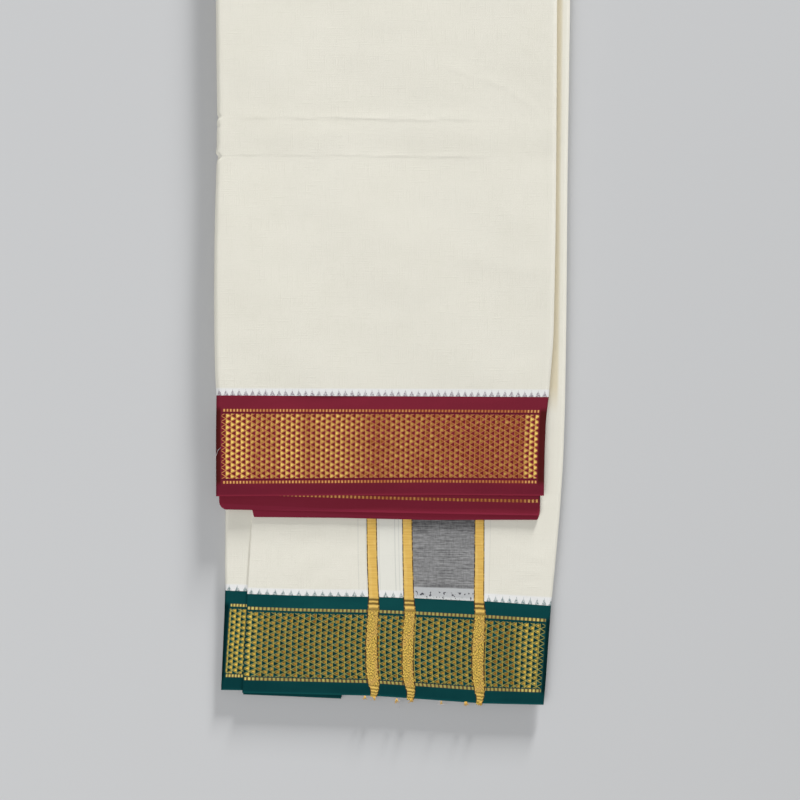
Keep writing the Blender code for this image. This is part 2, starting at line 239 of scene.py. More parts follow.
LOWER_BODY = table(0, LOWER_TURN, (8, 1.1, 3.2),
    (-109, -273.25, 119.3, -282.25, 7.8, 1.1, 2.8),
    (-108.2, -260, 121.2, -264, 7.9, 1.1, 2.9),
    (-107, -240, 123.4, -240.5, 8, 1.1, 3),
    (-105.4, -215.5, 125.6, -215.5, 8, 1.1, 3.1),
    (-105.5, -176.5, 128.3, -176.5),
    (-105.9, -135, 129.7, -135),
    (-106.4, -82.7, 130.6, -82.7),
    (-107.6, -25, 131.2, -25),
    (-109.2, 37.3, 131.6, 37.3),
    (-111.4, 110, 132.7, 110),
    (-114.6, 172.3, 133.6, 172.3),
    (-119, 232, 132.9, 232),
    (-123.8, 282, 131.3, 282),
)
LOWER_BODY += table(0, FOLD_TURN, (8, 1.1, 3.2), (-126.6, 322, 129.6, 322, 8, 1.1, 2.4))
LOWER_BODY += table(0, LAID, (8, 1.1, 3.2), (-126.8, FOLD_Y, 127.4, FOLD_Y, 8, 1.1, 1.1))

GREEN_BORDER = LOWER_BODY[:1] + table(0, LOWER_TURN, (8, 1.1, 2.5),
    (-109.9, -292.4, 117.8, -302.2, 7.6),
    (-111, -311, 116.5, -321, 7.2, 1.1, 2.2),
    (-111.9, -329.5, 115.3, -339, 6.7, 1.1, 2),
    (-112.9, -347.7, 113.7, -356.8, 6.1, 1.1, 1.8),
)

# The leaf that shows at the left of it, and the edge that shows a few millimetres below it

SECOND_BODY = table(0, SECOND_TURN, (6.7, 2.2, 1.6),
    (-125.6, -270.85, 116.2, -279.35, 6.5, 2.1, 1.1),
    (-125.9, -247.7, 119.8, -250.5),
    (-125, -210.2, 122.8, -210.2),
    (-125, -176.5, 125.4, -176.5),
    (-124.8, -82.7, 127.6, -82.7),
    (-124.7, 37.3, 128.8, 37.3),
    (-124.9, 172.3, 130.4, 172.3),
    (-126.4, 272, 128.6, 272),
    (-126.9, 322, 127.6, 322, 6.7, 1.8),
)
SECOND_BODY += table(0, LAID, (6.7, 2.2, 1.6), (-126.4, FOLD_Y, 127, FOLD_Y, 6.7, 1.4, 1.4))

SECOND_GREEN = SECOND_BODY[:1] + table(0, SECOND_TURN, (6, 2, 1.1),
    (-126.7, -296.5, 114.4, -304, 6.2),
    (-127.8, -320.8, 112.8, -327, 5.6, 1.8),
    (-129, -345.7, 111.2, -349.3, 4.8, 1.6),
)

PEEKING_GREEN = table(0, LAID, (5.1, 1.1, 1.1),
    (-109.6, -284, -35.5, -284),
    (-110.9, -317, -35.5, -318, 4.4),
    (-111.9, -342, -36.4, -344.5, 3.6),
    (-112.4, -349.2, -38.6, -352.4, 3.4),
)

# Where the two lower leaves run back over the fold, hidden in the upper half

LOWER_RETURN = table(-180, BACK_TURN, (8.5, 0.9, 0.9),
    (-126, FOLD_Y, 126.4, FOLD_Y, 8.5),
    (-116, 250, 121.6, 250, 8.6),
    (-109, 60, 118.6, 60, 8.7),
    (-106.2, -138, 110.6, -138, 8.8),
)

SECOND_RETURN = table(-180, BACK_TURN, (8.5, 0.9, 0.9),
    (-126, FOLD_Y, 126.2, FOLD_Y, 9.8),
    (-129.2, 250, 121.8, 250, 9.9),
    (-130.4, 60, 119, 60, 10),
    (-129.8, -138, 111.4, -138, 10.1),
)

# Dark bands across a stripe: from, to and strength; woven olive bands near the cream, and painted
# shade between the gathered rolls at its end. Painted highlights on its rolls: from and to.

STRIPE_BANDS = (
    (1.1, 2.9, 0.9), (4, 5.9, 0.88), (8, 10.2, 0.62), (66.4, 67.4, 0.65), (69, 70.1, 0.8),
    (71.4, 72.4, 0.85), (73.5, 74.3, 0.8),
)

ROLL_HIGHLIGHTS = ((3.1, 3.8), (6.2, 7.6), (67.5, 69), (70.2, 71.4), (72.5, 73.4))

# The end stripes: along the cloth from where cream meets green, the middle of the stripe and
# half of its width

STRIPES = {
    "left": (
        (-640, -15.6, 3.9), (-80, -15.6, 3.9), (-60, -15.6, 3.9), (-30, -15.2, 4),
        (0.7, -14.1, 4.1), (9.7, -14.2, 4.4), (20.5, -15.1, 4.4), (36.5, -15.8, 4.7),
        (52.5, -15.3, 4.9), (58, -15.1, 4.9), (63, -14.4, 4.8), (65.5, -14, 4.4),
        (69.8, -13.4, 3.4), (75.3, -14.1, 2.3),
    ),
    "middle": (
        (-640, 11, 3.8), (-80, 11, 3.8), (-60, 11.1, 3.8), (-30, 11.5, 3.9), (0, 12.3, 4),
        (11, 13.3, 4.4), (19.7, 12.3, 4.4), (35.8, 11.6, 4.8), (46.5, 11.4, 4.5),
        (57.2, 11.7, 4.5), (62.6, 12.4, 4.5), (66.8, 13.5, 3.6), (70, 13.9, 3.3),
        (76, 13.4, 2.5),
    ),
    "right": (
        (-640, 65.4, 3.7), (-80, 65.4, 3.7), (-60, 65.4, 3.7), (-30, 65.3, 3.8), (0, 65, 3.9),
        (8.7, 65.9, 4.2), (17.3, 65.2, 4.5), (33.3, 64.4, 5.1), (44, 64.1, 4.9),
        (58, 64.5, 4.7), (63.3, 65.3, 4.4), (69.8, 65.9, 3.1), (75.6, 65.2, 2.2),
    ),
}

# Left edge, the three stripes and the right edge of that leaf, measured across the flat cloth

STRIPE_PLACES = (0, 95.5, 122.9, 175.4, 228)
GREY_BAND = STRIPE_PLACES[2:4]

# Upward bow of a leaf: share of the width, at the cream edge, at the selvedge

LOWER_BOW = (
    (0, 0, 0), (0.18, 0.2, 0.8), (0.42, 1.5, 1.7), (0.56, 1.65, 0.9), (0.75, 1.3, -0.5),
    (0.8, 1.35, -0.8), (1, 0, 0),
)

UPPER_BOW = ((0, 0, 0), (0.35, 0, 0.5), (0.65, 0, 0.9), (1, 0, 0))

THIRD_BOW = ((0, 0, 0), (0.3, 0, 0), (0.62, 0, -0.9), (1, 0, 0))

NO_BOW = ((0, 0, 0), (1, 0, 0))

# Creases: two ends, the reach of the gentle side (+Y) and of the steep one, and the height

TOP_CREASES = (
    (-112, 84, 74, 82.2, 5, 1.3, 0.11), (-52, 83.6, -2, 82.6, 2.5, 0.6, 0.1),
    (10, 81, 40, 80.6, 2, 0.6, 0.08), (-132, 56.3, 70, 54.2, 4.5, 0.75, 0.08),
    (-30, 54.6, 66, 54, 2.5, 0.6, 0.05), (-130, 84.8, -117, 77.6, 2, 0.8, 0.1),
    (38, 122, 94, 101.5, 4.5, 1, 0.07), (84, 105.5, 124, 75, 3.5, 1, 0.08),
    (-134, 12, -60, 20, 9, 5, 0.1), (40, -20, 122, -34, 10, 6, 0.12),
    (-20, -60, 60, -52, 10, 6, -0.1), (-134, -88, -96, -80, 7, 4, 0.1),
    (88, -100, 120, -84, 7, 4, -0.1), (-40, 150, 30, 160, 9, 6, 0.1),
    (-120, 218, 60, 226, 4, 1.2, 0.16), (-60, 262, 122, 255, 4, 1.2, 0.16),
    (-128, 300, 20, 296, 4, 1.2, 0.14),
)

LOWER_CREASES = (
    (-106, -228, -30, -224, 7, 4, 0.12), (-60, -262, -22, -232, 6, 4, -0.1),
    (80, -236, 124, -250, 6, 4, 0.14), (92, -268, 121, -258, 4, 3, -0.1),
)

UNDER_CREASES = (
    (-126, 120, 80, 128, 3, 1.2, -0.2), (-70, 40, 128, 30, 3.4, 1.4, -0.18),
    (-126, -90, 30, -84, 2.8, 1.2, -0.2), (-10, -190, 122, -200, 4, 1.6, -0.18),
    (20, 250, 128, 300, 5, 2, -0.2),
)

# Nicks in the left edge of the top leaf: place along it, depth and half of the width

TOP_NICKS = (
    (84.2, 0.9, 1.6), (77, 0.5, 1.4), (54, 1.3, 1.9), (57.8, -0.7, 2), (33, 0.4, 1.5),
)

# Painted sheen of the zari: brightness of the gold, standing in for its highlights and shade, by distance
# from the left edge of the leaf

MAROON_PAINTED_SHEEN = (
    (5, 0.9), (22, 0.92), (29, 0.34), (44, 0.36), (50, 0.8), (62, 0.76), (69, 0.34), (76, 0.6),
    (100, 0.56), (122, 0.18), (140, 0.27), (168, 0.13), (182, 0.24), (205, 0.08), (231, 0.04),
    (235, 0.95), (241, 1),
)

GREEN_PAINTED_SHEEN = (
    (0, 0.75), (3, 1), (6, 0.95), (9, 0.25), (40, 0.12), (70, 0.2), (90, 0.16), (118, 0.24),
    (150, 0.14), (182, 0.2), (201, 0.12), (208, 0.5), (213, 0.76), (219, 0.84), (222, 0.3),
)

SECOND_GREEN_PAINTED_SHEEN = ((0, 0.8), (30, 0.8), (60, 0.2), (240, 0.2))

# The weave of each border: its colours with the painted shade of its curled sides, its painted
# sheen, the lattice of triangles, the two rows of dashes and the strength of the dark line
# beside the lattice

Lattice = namedtuple("Lattice", "column row direction low high left right solid solid_end core")
Dashes = namedtuple("Dashes", "pitch width first second half")

MAROON_GROUND = (MAROON, MAROON_LIGHT, MAROON_DARK, MAROON_FIELD, MAROON_CURL_SHADE)
# A lighter copy of the maroon ground for the edges below the top leaf: painted light that makes up for the
# shadow the leaf above casts on them
LIGHTENED_INNER_GROUND = (MAROON_LIGHT, MAROON_BRIGHT, MAROON, MAROON_FIELD, MAROON_CURL_SHADE)
GREEN_GROUND = (GREEN, GREEN_LIGHT, GREEN_DARK, GREEN_FIELD, GREEN_CURL_SHADE)
GOLD = (GOLD_DULL, GOLD_BRIGHT, GOLD_LINE_DULL, GOLD_LINE_BRIGHT, GOLD_DASH, GOLD_DASH_BRIGHT)
OLIVE = (OLIVE_GOLD, OLIVE_BRIGHT, OLIVE_LINE, OLIVE_LINE_BRIGHT, OLIVE_DASH, OLIVE_DASH_BRIGHT)

MAROON_LATTICE = Lattice(3.75, 4.28, 1, 13.57, 61.5, 4.4, 242.6, 7.4, 244.0, 0.105)
INNER_LATTICE = MAROON_LATTICE._replace(high=60.4)
GREEN_LATTICE = Lattice(4.42, 4.34, -1, 13.7, 62.2, 0.5, 224.6, 0.5, 220.2, 0.16)
SECOND_LATTICE = Lattice(3.75, 4.28, -1, 13.7, 62.2, 2.5, 240.0, 2.5, 240.0, 0.15)
MAROON_DASHES = Dashes(2.48, 1.05, 10.98, 64.3, 0.95)
INNER_DASHES = Dashes(3.0, 1.4, 10.98, 64.3, 1.05)
GREEN_DASHES = Dashes(3.02, 1.7, 10.9, 64.0, 1.05)
SECOND_DASHES = Dashes(2.33, 1.3, 10.9, 64.0, 1.0)

BORDERS = {
    "maroon_zari_border": (MAROON_GROUND, GOLD, MAROON_PAINTED_SHEEN, MAROON_LATTICE, MAROON_DASHES, 0.6),
    "inner_maroon_border": (LIGHTENED_INNER_GROUND, GOLD, MAROON_PAINTED_SHEEN, INNER_LATTICE, INNER_DASHES, 0.6),
    "green_zari_border": (GREEN_GROUND, OLIVE, GREEN_PAINTED_SHEEN, GREEN_LATTICE, GREEN_DASHES, 0.3),
    "second_green_border": (GREEN_GROUND, OLIVE, SECOND_GREEN_PAINTED_SHEEN, SECOND_LATTICE, SECOND_DASHES, 0.3),
}

# Faint lines woven between the gold stripes: place across the cloth, half width and strength

FAINT_LINES = (
    (84.6, 0.35, 0.14), (90.6, 0.3, 0.1), (101, 0.5, 0.1), (113.2, 0.35, 0.22),
    (116.2, 0.35, 0.18), (182.6, 0.3, 0.1),
)

# Cut ends of the zari at the green selvedge: where each tuft lies, its reach, threads and seed

TUFTS = (
    (-20.8, -350.6, 6.9, 2.4, 9, 1), (3.2, -352.6, 6.9, 3.2, 12, 2),
    (36.6, -354.4, 6.8, 2.6, 7, 3), (54.9, -354.9, 6.8, 3, 14, 4),
    (-13.6, -351, 7, 2.6, 12, 5), (13.9, -352.4, 7, 3, 14, 6),
    (66.2, -354.8, 7, 2.8, 12, 7),
)

# Paths of the loose threads

LOOSE_PATHS = (
    (
        (-128.6, -163.4, 14.2), (-130.8, -165.8, 14.4), (-131.8, -169.2, 14),
        (-134.2, -171, 13.2), (-134.8, -172.2, 11.6),
    ),
    ((3.6, -352, 7.2), (5.6, -354.4, 6.6), (4.4, -357.6, 5), (6, -359.4, 3.2)),
    ((36.2, -353.6, 7), (33.4, -355.6, 6.4), (38.6, -356.8, 5.6), (41.4, -355.4, 5.4)),
)


# Form of the cloth


def middle_line(rows):
    """The middle of every row: X, Y and height."""
    return np.stack([(rows[:, 0] + rows[:, 2]) / 2, (rows[:, 1] + rows[:, 3]) / 2, rows[:, 4]], axis=1)


def run_along(points):
    """How far each point is from the first one, along the line through them."""
    return np.r_[0, np.cumsum(np.linalg.norm(np.diff(points, axis=0), axis=1))]


def resampled(at, places, data):
    """Every column of a table at other places along it."""
    return np.stack([np.interp(at, places, column) for column in data.T], axis=1)


def refined(rows, step, closer=(), ease=3.0):
    """The table's rows at even steps along the cloth, closer between some distances in Y."""
    data = np.array(rows, float)
    middle = middle_line(data)
    distance = run_along(middle)
    length = distance[-1]
    fine = np.linspace(0, length, max(50, int(length * 4)))
    at_y = np.interp(fine, distance, middle[:, 1])
    spacing = np.full(len(fine), float(step))
    for low, high, close_step in closer:
        spacing[(at_y > low) & (at_y < high)] = close_step
    total = np.r_[0, np.cumsum(np.diff(fine) / ((spacing[1:] + spacing[:-1]) / 2))]
    count = max(2, int(round(total[-1])) + 1)
    at = np.interp(np.linspace(0, total[-1], count), total, fine)
    even = np.linspace(0, length, max(3, int(length / ease)))
    smooth = resampled(even, distance, data)
    for _ in range(6):
        eased = (smooth[:-2] + 2 * smooth[1:-1] + smooth[2:]) / 4
        smooth[1:-1, [0, 2, 4]] = eased[:, [0, 2, 4]]
    return resampled(at, even, smooth), at


def fold_rows(start, end, radii, steps, inward=False):
    """Rows round the crosswise fold. Inward, the cloth's face is inside the fold."""
    first = np.array(start, float)
    last = np.array(end, float)
    sign = -1 if inward else 1
    rows = []
    for index in range(1, steps):
        share = index / steps
        row = first * (1 - share) + last * share
        radius = radii[0] * (1 - share) + radii[1] * share
        turn = math.pi * share
        row[[1, 3]] = FOLD_Y + radius * math.sin(turn)
        row[4] = FOLD_Z + sign * radius * math.cos(turn)
        row[5] = sign * math.degrees(turn)
        rows.append(row)
    return np.array(rows)


def ripple(x, y, seed):
    """Soft uneven waves of cloth that lies flat, in millimetres."""
    rng = np.random.default_rng(seed)
    total = np.zeros_like(x)
    for length, height in ((90, 0.10), (48, 0.040), (24, 0.014), (13, 0.006)):
        for _ in range(4):
            angle = rng.uniform(0, 2 * math.pi)
            phase = rng.uniform(0, 2 * math.pi)
            stretch = rng.uniform(0.8, 1.3) * length
            along = x * math.cos(angle) + y * math.sin(angle)
            total += 0.5 * height * np.sin(2 * math.pi * along / stretch + phase)
    return total


def crease_height(x, y, creases):
    """Height that the creases add at each point, fading out towards their ends."""
    total = np.zeros_like(x)
    for x0, y0, x1, y1, gentle, steep, height in creases:
        length = math.hypot(x1 - x0, y1 - y0)
        run_x = (x1 - x0) / length
        run_y = (y1 - y0) / length
        along = (x - x0) * run_x + (y - y0) * run_y
        sway = 0.45 * np.sin(along / 9.0 + x0) + 0.3 * np.sin(along / 3.7 + y0)
        across = (y - y0) * run_x - (x - x0) * run_y + sway
        ends = np.clip(np.minimum(along, length - along) / CREASE_FADE + 0.4, 0, 1)
        uneven = 0.7 + 0.3 * np.sin(along / 6.0 + y1)
        reach = np.where(across > 0, gentle, steep)
        total += height * uneven * ends * np.exp(-((across / reach) ** 2))
    return total


Surface = namedtuple("Surface", "points across along rows")


def nicked(rows, nicks):
    """The rows with small nicks in their left edge."""
    face = rows[:, 5] == 0
    for y, depth, width in nicks:
        rows[face, 0] += depth * np.exp(-(((rows[face, 1] - y) / width) ** 2))
    return rows


def cloth_surface(rows, along, columns, bow, creases, seed, width, depth, wave=1.0, under=()):
    """The outer face of a stretch of cloth: a grid of points with its place on the flat cloth."""
    left_x, left_y, right_x, right_y, height, angle, left_curl, right_curl = rows[:, :8].T[:, :, None]
    left_turn = np.radians(rows[:, 8:9])
    right_turn = np.radians(rows[:, 9:10])
    span = np.hypot(right_x - left_x, right_y - left_y)
    left_reach = left_curl * np.sin(left_turn)
    right_reach = right_curl * np.sin(right_turn)
    steps = np.arange(CURL_STEPS) / CURL_STEPS
    left_angle = left_turn * (1 - steps)
    right_angle = right_turn * (steps + 1 / CURL_STEPS)
    middle = left_reach + (span - left_reach - right_reach) * np.linspace(0, 1, columns + 1)
    left = left_reach - left_curl * np.sin(left_angle)
    right = span - right_reach + right_curl * np.sin(right_angle)
    reach = np.concatenate([left, middle, right], axis=1)
    left_drop = left_curl * (1 - np.cos(left_angle))
    right_drop = right_curl * (1 - np.cos(right_angle))
    drop = np.concatenate([left_drop, np.zeros_like(middle), right_drop], axis=1)
    share = reach / span
    x = left_x + (right_x - left_x) * share
    y = left_y + (right_y - left_y) * share
    shares, at_line, at_selvedge = np.array(bow, float).T
    line_bow = np.interp(share, shares, at_line)
    selvedge_bow = np.interp(share, shares, at_selvedge)
    down = np.clip(along / BORDER_DEPTH, 0, 1)[:, None]
    above = np.clip(1 + along / BOW_FADE, 0, 1)[:, None]
    y = y + above * (line_bow * (1 - down) + selvedge_bow * down)
    inner = np.clip((np.minimum(reach, span - reach) - EDGE_CALM) / EDGE_RISE, 0, 1)
    folds = np.where(angle > 90, crease_height(x, y, under), crease_height(x, y, creases))
    lift = inner * (wave * ripple(x, y, seed) + folds)
    if depth > 0:
        lift = lift + SELVEDGE_RIM * np.exp(-(((depth - along) / 0.7) ** 2))[:, None]
    lift = np.where(angle == 180, np.minimum(lift, 0.0), lift) - drop
    turn = np.radians(angle)
    points = np.stack([x, y + np.sin(turn) * lift, height + np.cos(turn) * lift], axis=2)
    return Surface(points, share * width, np.repeat(along[:, None], share.shape[1], axis=1), rows)


def placed_by_stripes(surface):
    """The same grid, its place across the cloth held by the end stripes instead of its edges."""
    x = surface.points[:, :, 0]
    across = np.empty_like(x)
    for number, along in enumerate(surface.along[:, 0]):
        marks = [x[number].min()]
        for stripe in STRIPES.values():
            data = np.array(stripe, float)
            marks.append(np.interp(along, data[:, 0], data[:, 1]))
        marks.append(x[number].max())
        across[number] = np.interp(x[number], marks, STRIPE_PLACES)
    return surface._replace(across=across)


def unit_normals(surface):
    """The outward normal of every point of a grid."""
    normal = np.cross(np.gradient(surface.points, axis=1), np.gradient(surface.points, axis=0))
    normal /= np.maximum(np.linalg.norm(normal, axis=2, keepdims=True), 1e-12)
    angle = np.radians(surface.rows[:, 5])
    outward = np.stack([np.zeros_like(angle), np.sin(angle), np.cos(angle)], axis=1)
    middle = normal.shape[1] // 2
    return -normal if (normal[:, middle] * outward).sum() < 0 else normal


def spread(weights):
    """Places from zero to one, as far apart as the weights."""
    total = np.r_[0, np.cumsum(weights)]
    return total / total[-1]


def placed(name, data):
    """A new object in the scene."""
    item = bpy.data.objects.new(name, data)
    bpy.context.scene.collection.objects.link(item)
    return item


def grid_faces(*corners):
    return np.stack(corners, axis=-1).reshape(-1, 4)


def shell_quads(index, back):
    """The faces of a shell: outer face, inner face, and a strip for each of its four edges."""
    return [
        grid_faces(index[:-1, :-1], index[:-1, 1:], index[1:, 1:], index[1:, :-1]),
        grid_faces(back[:-1, :-1], back[1:, :-1], back[1:, 1:], back[:-1, 1:]),
        grid_faces(index[0, 1:], index[0, :-1], back[0, :-1], back[0, 1:]),
        grid_faces(index[-1, :-1], index[-1, 1:], back[-1, 1:], back[-1, :-1]),
        grid_faces(index[:-1, 0], index[1:, 0], back[1:, 0], back[:-1, 0]),
        grid_faces(index[1:, -1], index[:-1, -1], back[:-1, -1], back[1:, -1]),
    ]


def shell_map(quads, columns, count, across, down, plain, halves):
    """The map for baking: the outer face large, in one band or two, the rest in narrow bands."""
    faces = np.concatenate(quads)
    row = (faces % count) // columns
    column = (faces % count) % columns
    bake = np.zeros((len(faces), 4, 2))
    bake[:, :, 0] = 0.01 + 0.98 * across[column]
    ends = np.cumsum([len(part) for part in quads])
    outer = slice(0, ends[0])
    tall = 0.58 if halves == 1 else 0.72
    band = tall / halves
    half_at = (columns - 1) // halves
    split = across[half_at]
    side = (column[outer].min(axis=1) >= half_at)[:, None]
    local = across[column[outer]]
    local = np.where(side, local - split, local) / np.where(side, 1 - split, split)
    bake[outer, :, 0] = 0.01 + 0.98 * local
    bake[outer, :, 1] = 0.01 + side * (band + 0.006) + (band - 0.004) * down[row[outer]]
    inner = slice(ends[0], ends[1])
    low = tall + 0.03
    bake[inner, :, 1] = low + (0.90 - low) * plain[row[inner]]
    for number, (start, stop) in enumerate(zip(ends[1:], ends[2:])):
        strip = slice(start, stop)
        if number > 1:
            bake[strip, :, 0] = 0.01 + 0.98 * plain[row[strip]]
        bake[strip, :, 1] = 0.912 + 0.02 * number + 0.014 * (faces[strip] >= count)
    return bake


def cloth_shell(name, surface, thickness, material, halves=1, close_rows=None):
    """A closed thin shell: the outer face, the inner one, and the cut edge all round."""
    outer = surface.points
    normals = unit_normals(surface)
    rows, columns = outer.shape[:2]
    count = rows * columns
    index = np.arange(count).reshape(rows, columns)
    quads = shell_quads(index, index + count)
    faces = np.concatenate(quads)
    place = np.stack([surface.across, surface.along], axis=2).reshape(-1, 2) * MM
    cloth = np.concatenate([place, place])[faces]
    widths = np.linalg.norm(np.diff(outer[rows // 2], axis=0), axis=1) + 0.3
    heights = np.linalg.norm(np.diff(outer[:, columns // 2], axis=0), axis=1)
    weights = heights * close_rows(surface.rows, surface.along[:, 0]) if close_rows else heights
    bake = shell_map(quads, columns, count, spread(widths), spread(weights), spread(heights), halves)

    points = np.concatenate([outer.reshape(-1, 3), (outer - normals * thickness).reshape(-1, 3)])
    first = faces[(rows // 2) * (columns - 1) + columns // 2]
    made = np.cross(points[first[1]] - points[first[0]], points[first[3]] - points[first[0]])
    if made.dot(normals[rows // 2, columns // 2]) < 0:
        faces, cloth, bake = faces[:, ::-1], cloth[:, ::-1], bake[:, ::-1]
    mesh = bpy.data.meshes.new(name)
    mesh.from_pydata((points * MM).tolist(), [], faces.tolist())
    for label, values in (("OFBake", bake), ("Cloth", cloth)):
        layer = mesh.uv_layers.new(name=label)
        layer.data.foreach_set("uv", values.astype(np.float32).ravel())
    mesh.materials.append(material)
    mesh.shade_smooth()
    mesh.set_sharp_from_angle(angle=SHARP)
    mesh.update()
    return placed(name, mesh)


class MappedShape:
    """A shape that is built face by face, with its map for baking and its place on the cloth."""

    def __init__(self):
        self.shape = bmesh.new()
        uv = self.shape.loops.layers.uv
        self.layers = (uv.new("OFBake"), uv.new("Cloth"))

    def point(self, place):
        return self.shape.verts.new(Vector(place) * MM)

    def face(self, corners, bake, cloth, smooth=True):
        made = self.shape.faces.new(corners)
        made.smooth = smooth
        for loop, at_map, at_cloth in zip(made.loops, bake, cloth):
            loop[self.layers[0]].uv = at_map
            loop[self.layers[1]].uv = at_cloth

    def finish(self, name, material):
        bmesh.ops.recalc_face_normals(self.shape, faces=self.shape.faces)
        mesh = bpy.data.meshes.new(name)
        self.shape.to_mesh(mesh)
        self.shape.free()
        mesh.materials.append(material)
        return placed(name, mesh)


def leaf_ring():
    """One ring round a pressed leaf: its share across, the swell of its sides, its share of depth."""
    flat = np.linspace(0, 1, FLAT_STEPS + 1)
    bend = np.linspace(0, math.pi, ROUND_STEPS + 2)[1:-1]
    still = np.zeros(FLAT_STEPS + 1)
    share = np.r_[flat, np.ones(ROUND_STEPS), flat[::-1], np.zeros(ROUND_STEPS)]
    swell = np.r_[still, np.sin(bend), still, -np.sin(bend)]
    level = np.r_[still, (1 - np.cos(bend)) / 2, still + 1, (1 + np.cos(bend)) / 2]
    return share, swell, level


def leaf_cap():
    """The faces of one end of a pressed leaf. A triangle has its last corner twice."""
    top = np.arange(FLAT_STEPS + 1)
    below = 2 * FLAT_STEPS + 1 + ROUND_STEPS - top
    faces = grid_faces(top[:-1], below[:-1], below[1:], top[1:]).tolist()
    right = list(range(FLAT_STEPS, FLAT_STEPS + ROUND_STEPS + 2))
    left = [*range(below[0], below[0] + ROUND_STEPS + 1), 0]
    for arc in (right, left):
        faces += [[arc[k], arc[k + 1], arc[-k - 2], arc[-k - 1]] for k in range(ROUND_STEPS // 2)]
        tip = len(arc) // 2
        faces.append([arc[tip - 1], arc[tip], arc[tip + 1], arc[tip + 1]])
    return np.array(faces)


def pressed_leaves(name, leaves, material):
    """Folded leaves as flat closed solids with rounded sides: rows, thickness and run of each."""
    shape = MappedShape()
    share, swell, level = leaf_ring()
    ring = len(share)
    around = np.linspace(0.01, 0.99, ring + 1)
    cap = leaf_cap()
    cell = 0.98 / (len(cap) * 2 * len(leaves))
    for number, (rows, thickness, along) in enumerate(leaves):
        left_x, left_y, right_x, right_y, height, angle = rows[:, :6].T[:, :, None]
        thick = thickness[:, None]
        x = (left_x + thick / 2) + (right_x - left_x - thick) * share + thick / 2 * swell
        y = left_y + (right_y - left_y) * share
        depth = thick * level + 0.05 * np.sin(x / 7 + along[:, None] / 13 + number)
        turn = np.radians(angle)
        grid = np.stack([x, y - np.sin(turn) * depth, height - np.cos(turn) * depth], axis=2)
        verts = [shape.point(place) for place in grid.reshape(-1, 3)]
        cloth = np.stack([x, np.repeat(along[:, None], ring, 1)], axis=2).reshape(-1, 2) * MM

        count = len(rows)
        index = np.arange(count * ring).reshape(count, ring)
        after = np.roll(index, -1, axis=1)
        sides = grid_faces(index[:-1], after[:-1], after[1:], index[1:])
        low = 0.01 + 0.90 * number / len(leaves)
        down = np.linspace(low, low + 0.90 / len(leaves) - 0.01, count)
        column = np.tile(np.arange(ring), count - 1)[:, None] + np.array([0, 1, 1, 0])
        row = np.repeat(np.arange(count - 1), ring)[:, None] + np.array([0, 0, 1, 1])
        for face, bake in zip(sides, np.stack([around[column], down[row]], axis=2)):
            shape.face([verts[k] for k in face], bake, cloth[face])
        for end, faces in enumerate((cap[:, ::-1], index[-1][cap])):
            for place, face in enumerate(faces):
                start = 0.01 + cell * (len(cap) * (2 * number + end) + place)
                stop = start + cell * 0.8
                bake = ((start, 0.93), (start, 0.98), (stop, 0.98), (stop, 0.93))
                shape.face([verts[k] for k in dict.fromkeys(face.tolist())], bake, cloth[face])
    item = shape.finish(name, material)
    item.data.set_sharp_from_angle(angle=SHARP)
    return item


# Materials


def linear(colour):
    """A screen colour as the linear values that a shader takes."""
    shares = [channel / 255 for channel in colour]
    return (*(s / 12.92 if s <= 0.04045 else ((s + 0.055) / 1.055) ** 2.4 for s in shares), 1.0)


class Value:
    """What a node gives, with the sums that masks are made of."""

    def __init__(self, shader, socket):
        self.shader = shader
        self.socket = socket

    def math(self, operation, second=0.0, third=0.0, clamp=False):
        return self.shader.math(operation, self, second, third, clamp)

    def __add__(self, other):
        return self.math("ADD", other)

    def __sub__(self, other):
        return self.math("SUBTRACT", other)

    def __mul__(self, other):
        return self.math("MULTIPLY", other)

    def __truediv__(self, other):
        return self.math("DIVIDE", other)

    def __abs__(self):
        return self.math("ABSOLUTE")

    def scaled(self, factor, shift=0.0):
        return self.math("MULTIPLY_ADD", factor, shift)

    def larger(self, other):
        return self.math("MAXIMUM", other)

    def rest(self):
        return self.shader.math("SUBTRACT", 1.0, self)

    def above(self, limit, soft):
        """One where this is above the limit, zero below it, with a soft step between."""
        return self.math("MULTIPLY_ADD", 1 / soft, 0.5 - limit / soft, clamp=True)

    def below(self, limit, soft):
        return self.math("MULTIPLY_ADD", -1 / soft, 0.5 + limit / soft, clamp=True)

    def band(self, low, high, soft):
        return self.above(low, soft) * self.below(high, soft)

    def contrast(self, low, high):
        """This spread so that low becomes zero and high becomes one."""
        return self.math("MULTIPLY_ADD", 1 / (high - low), -low / (high - low), clamp=True)

    def wave(self, pitch):
        return self.scaled(2 * math.pi / pitch).math("SINE")

    def off_middle(self, pitch):
        """Distance from the middle of each repeat, in millimetres."""
        phase = (self / pitch).math("FRACT")
        return abs(phase.scaled(1.0, -0.5)) * pitch


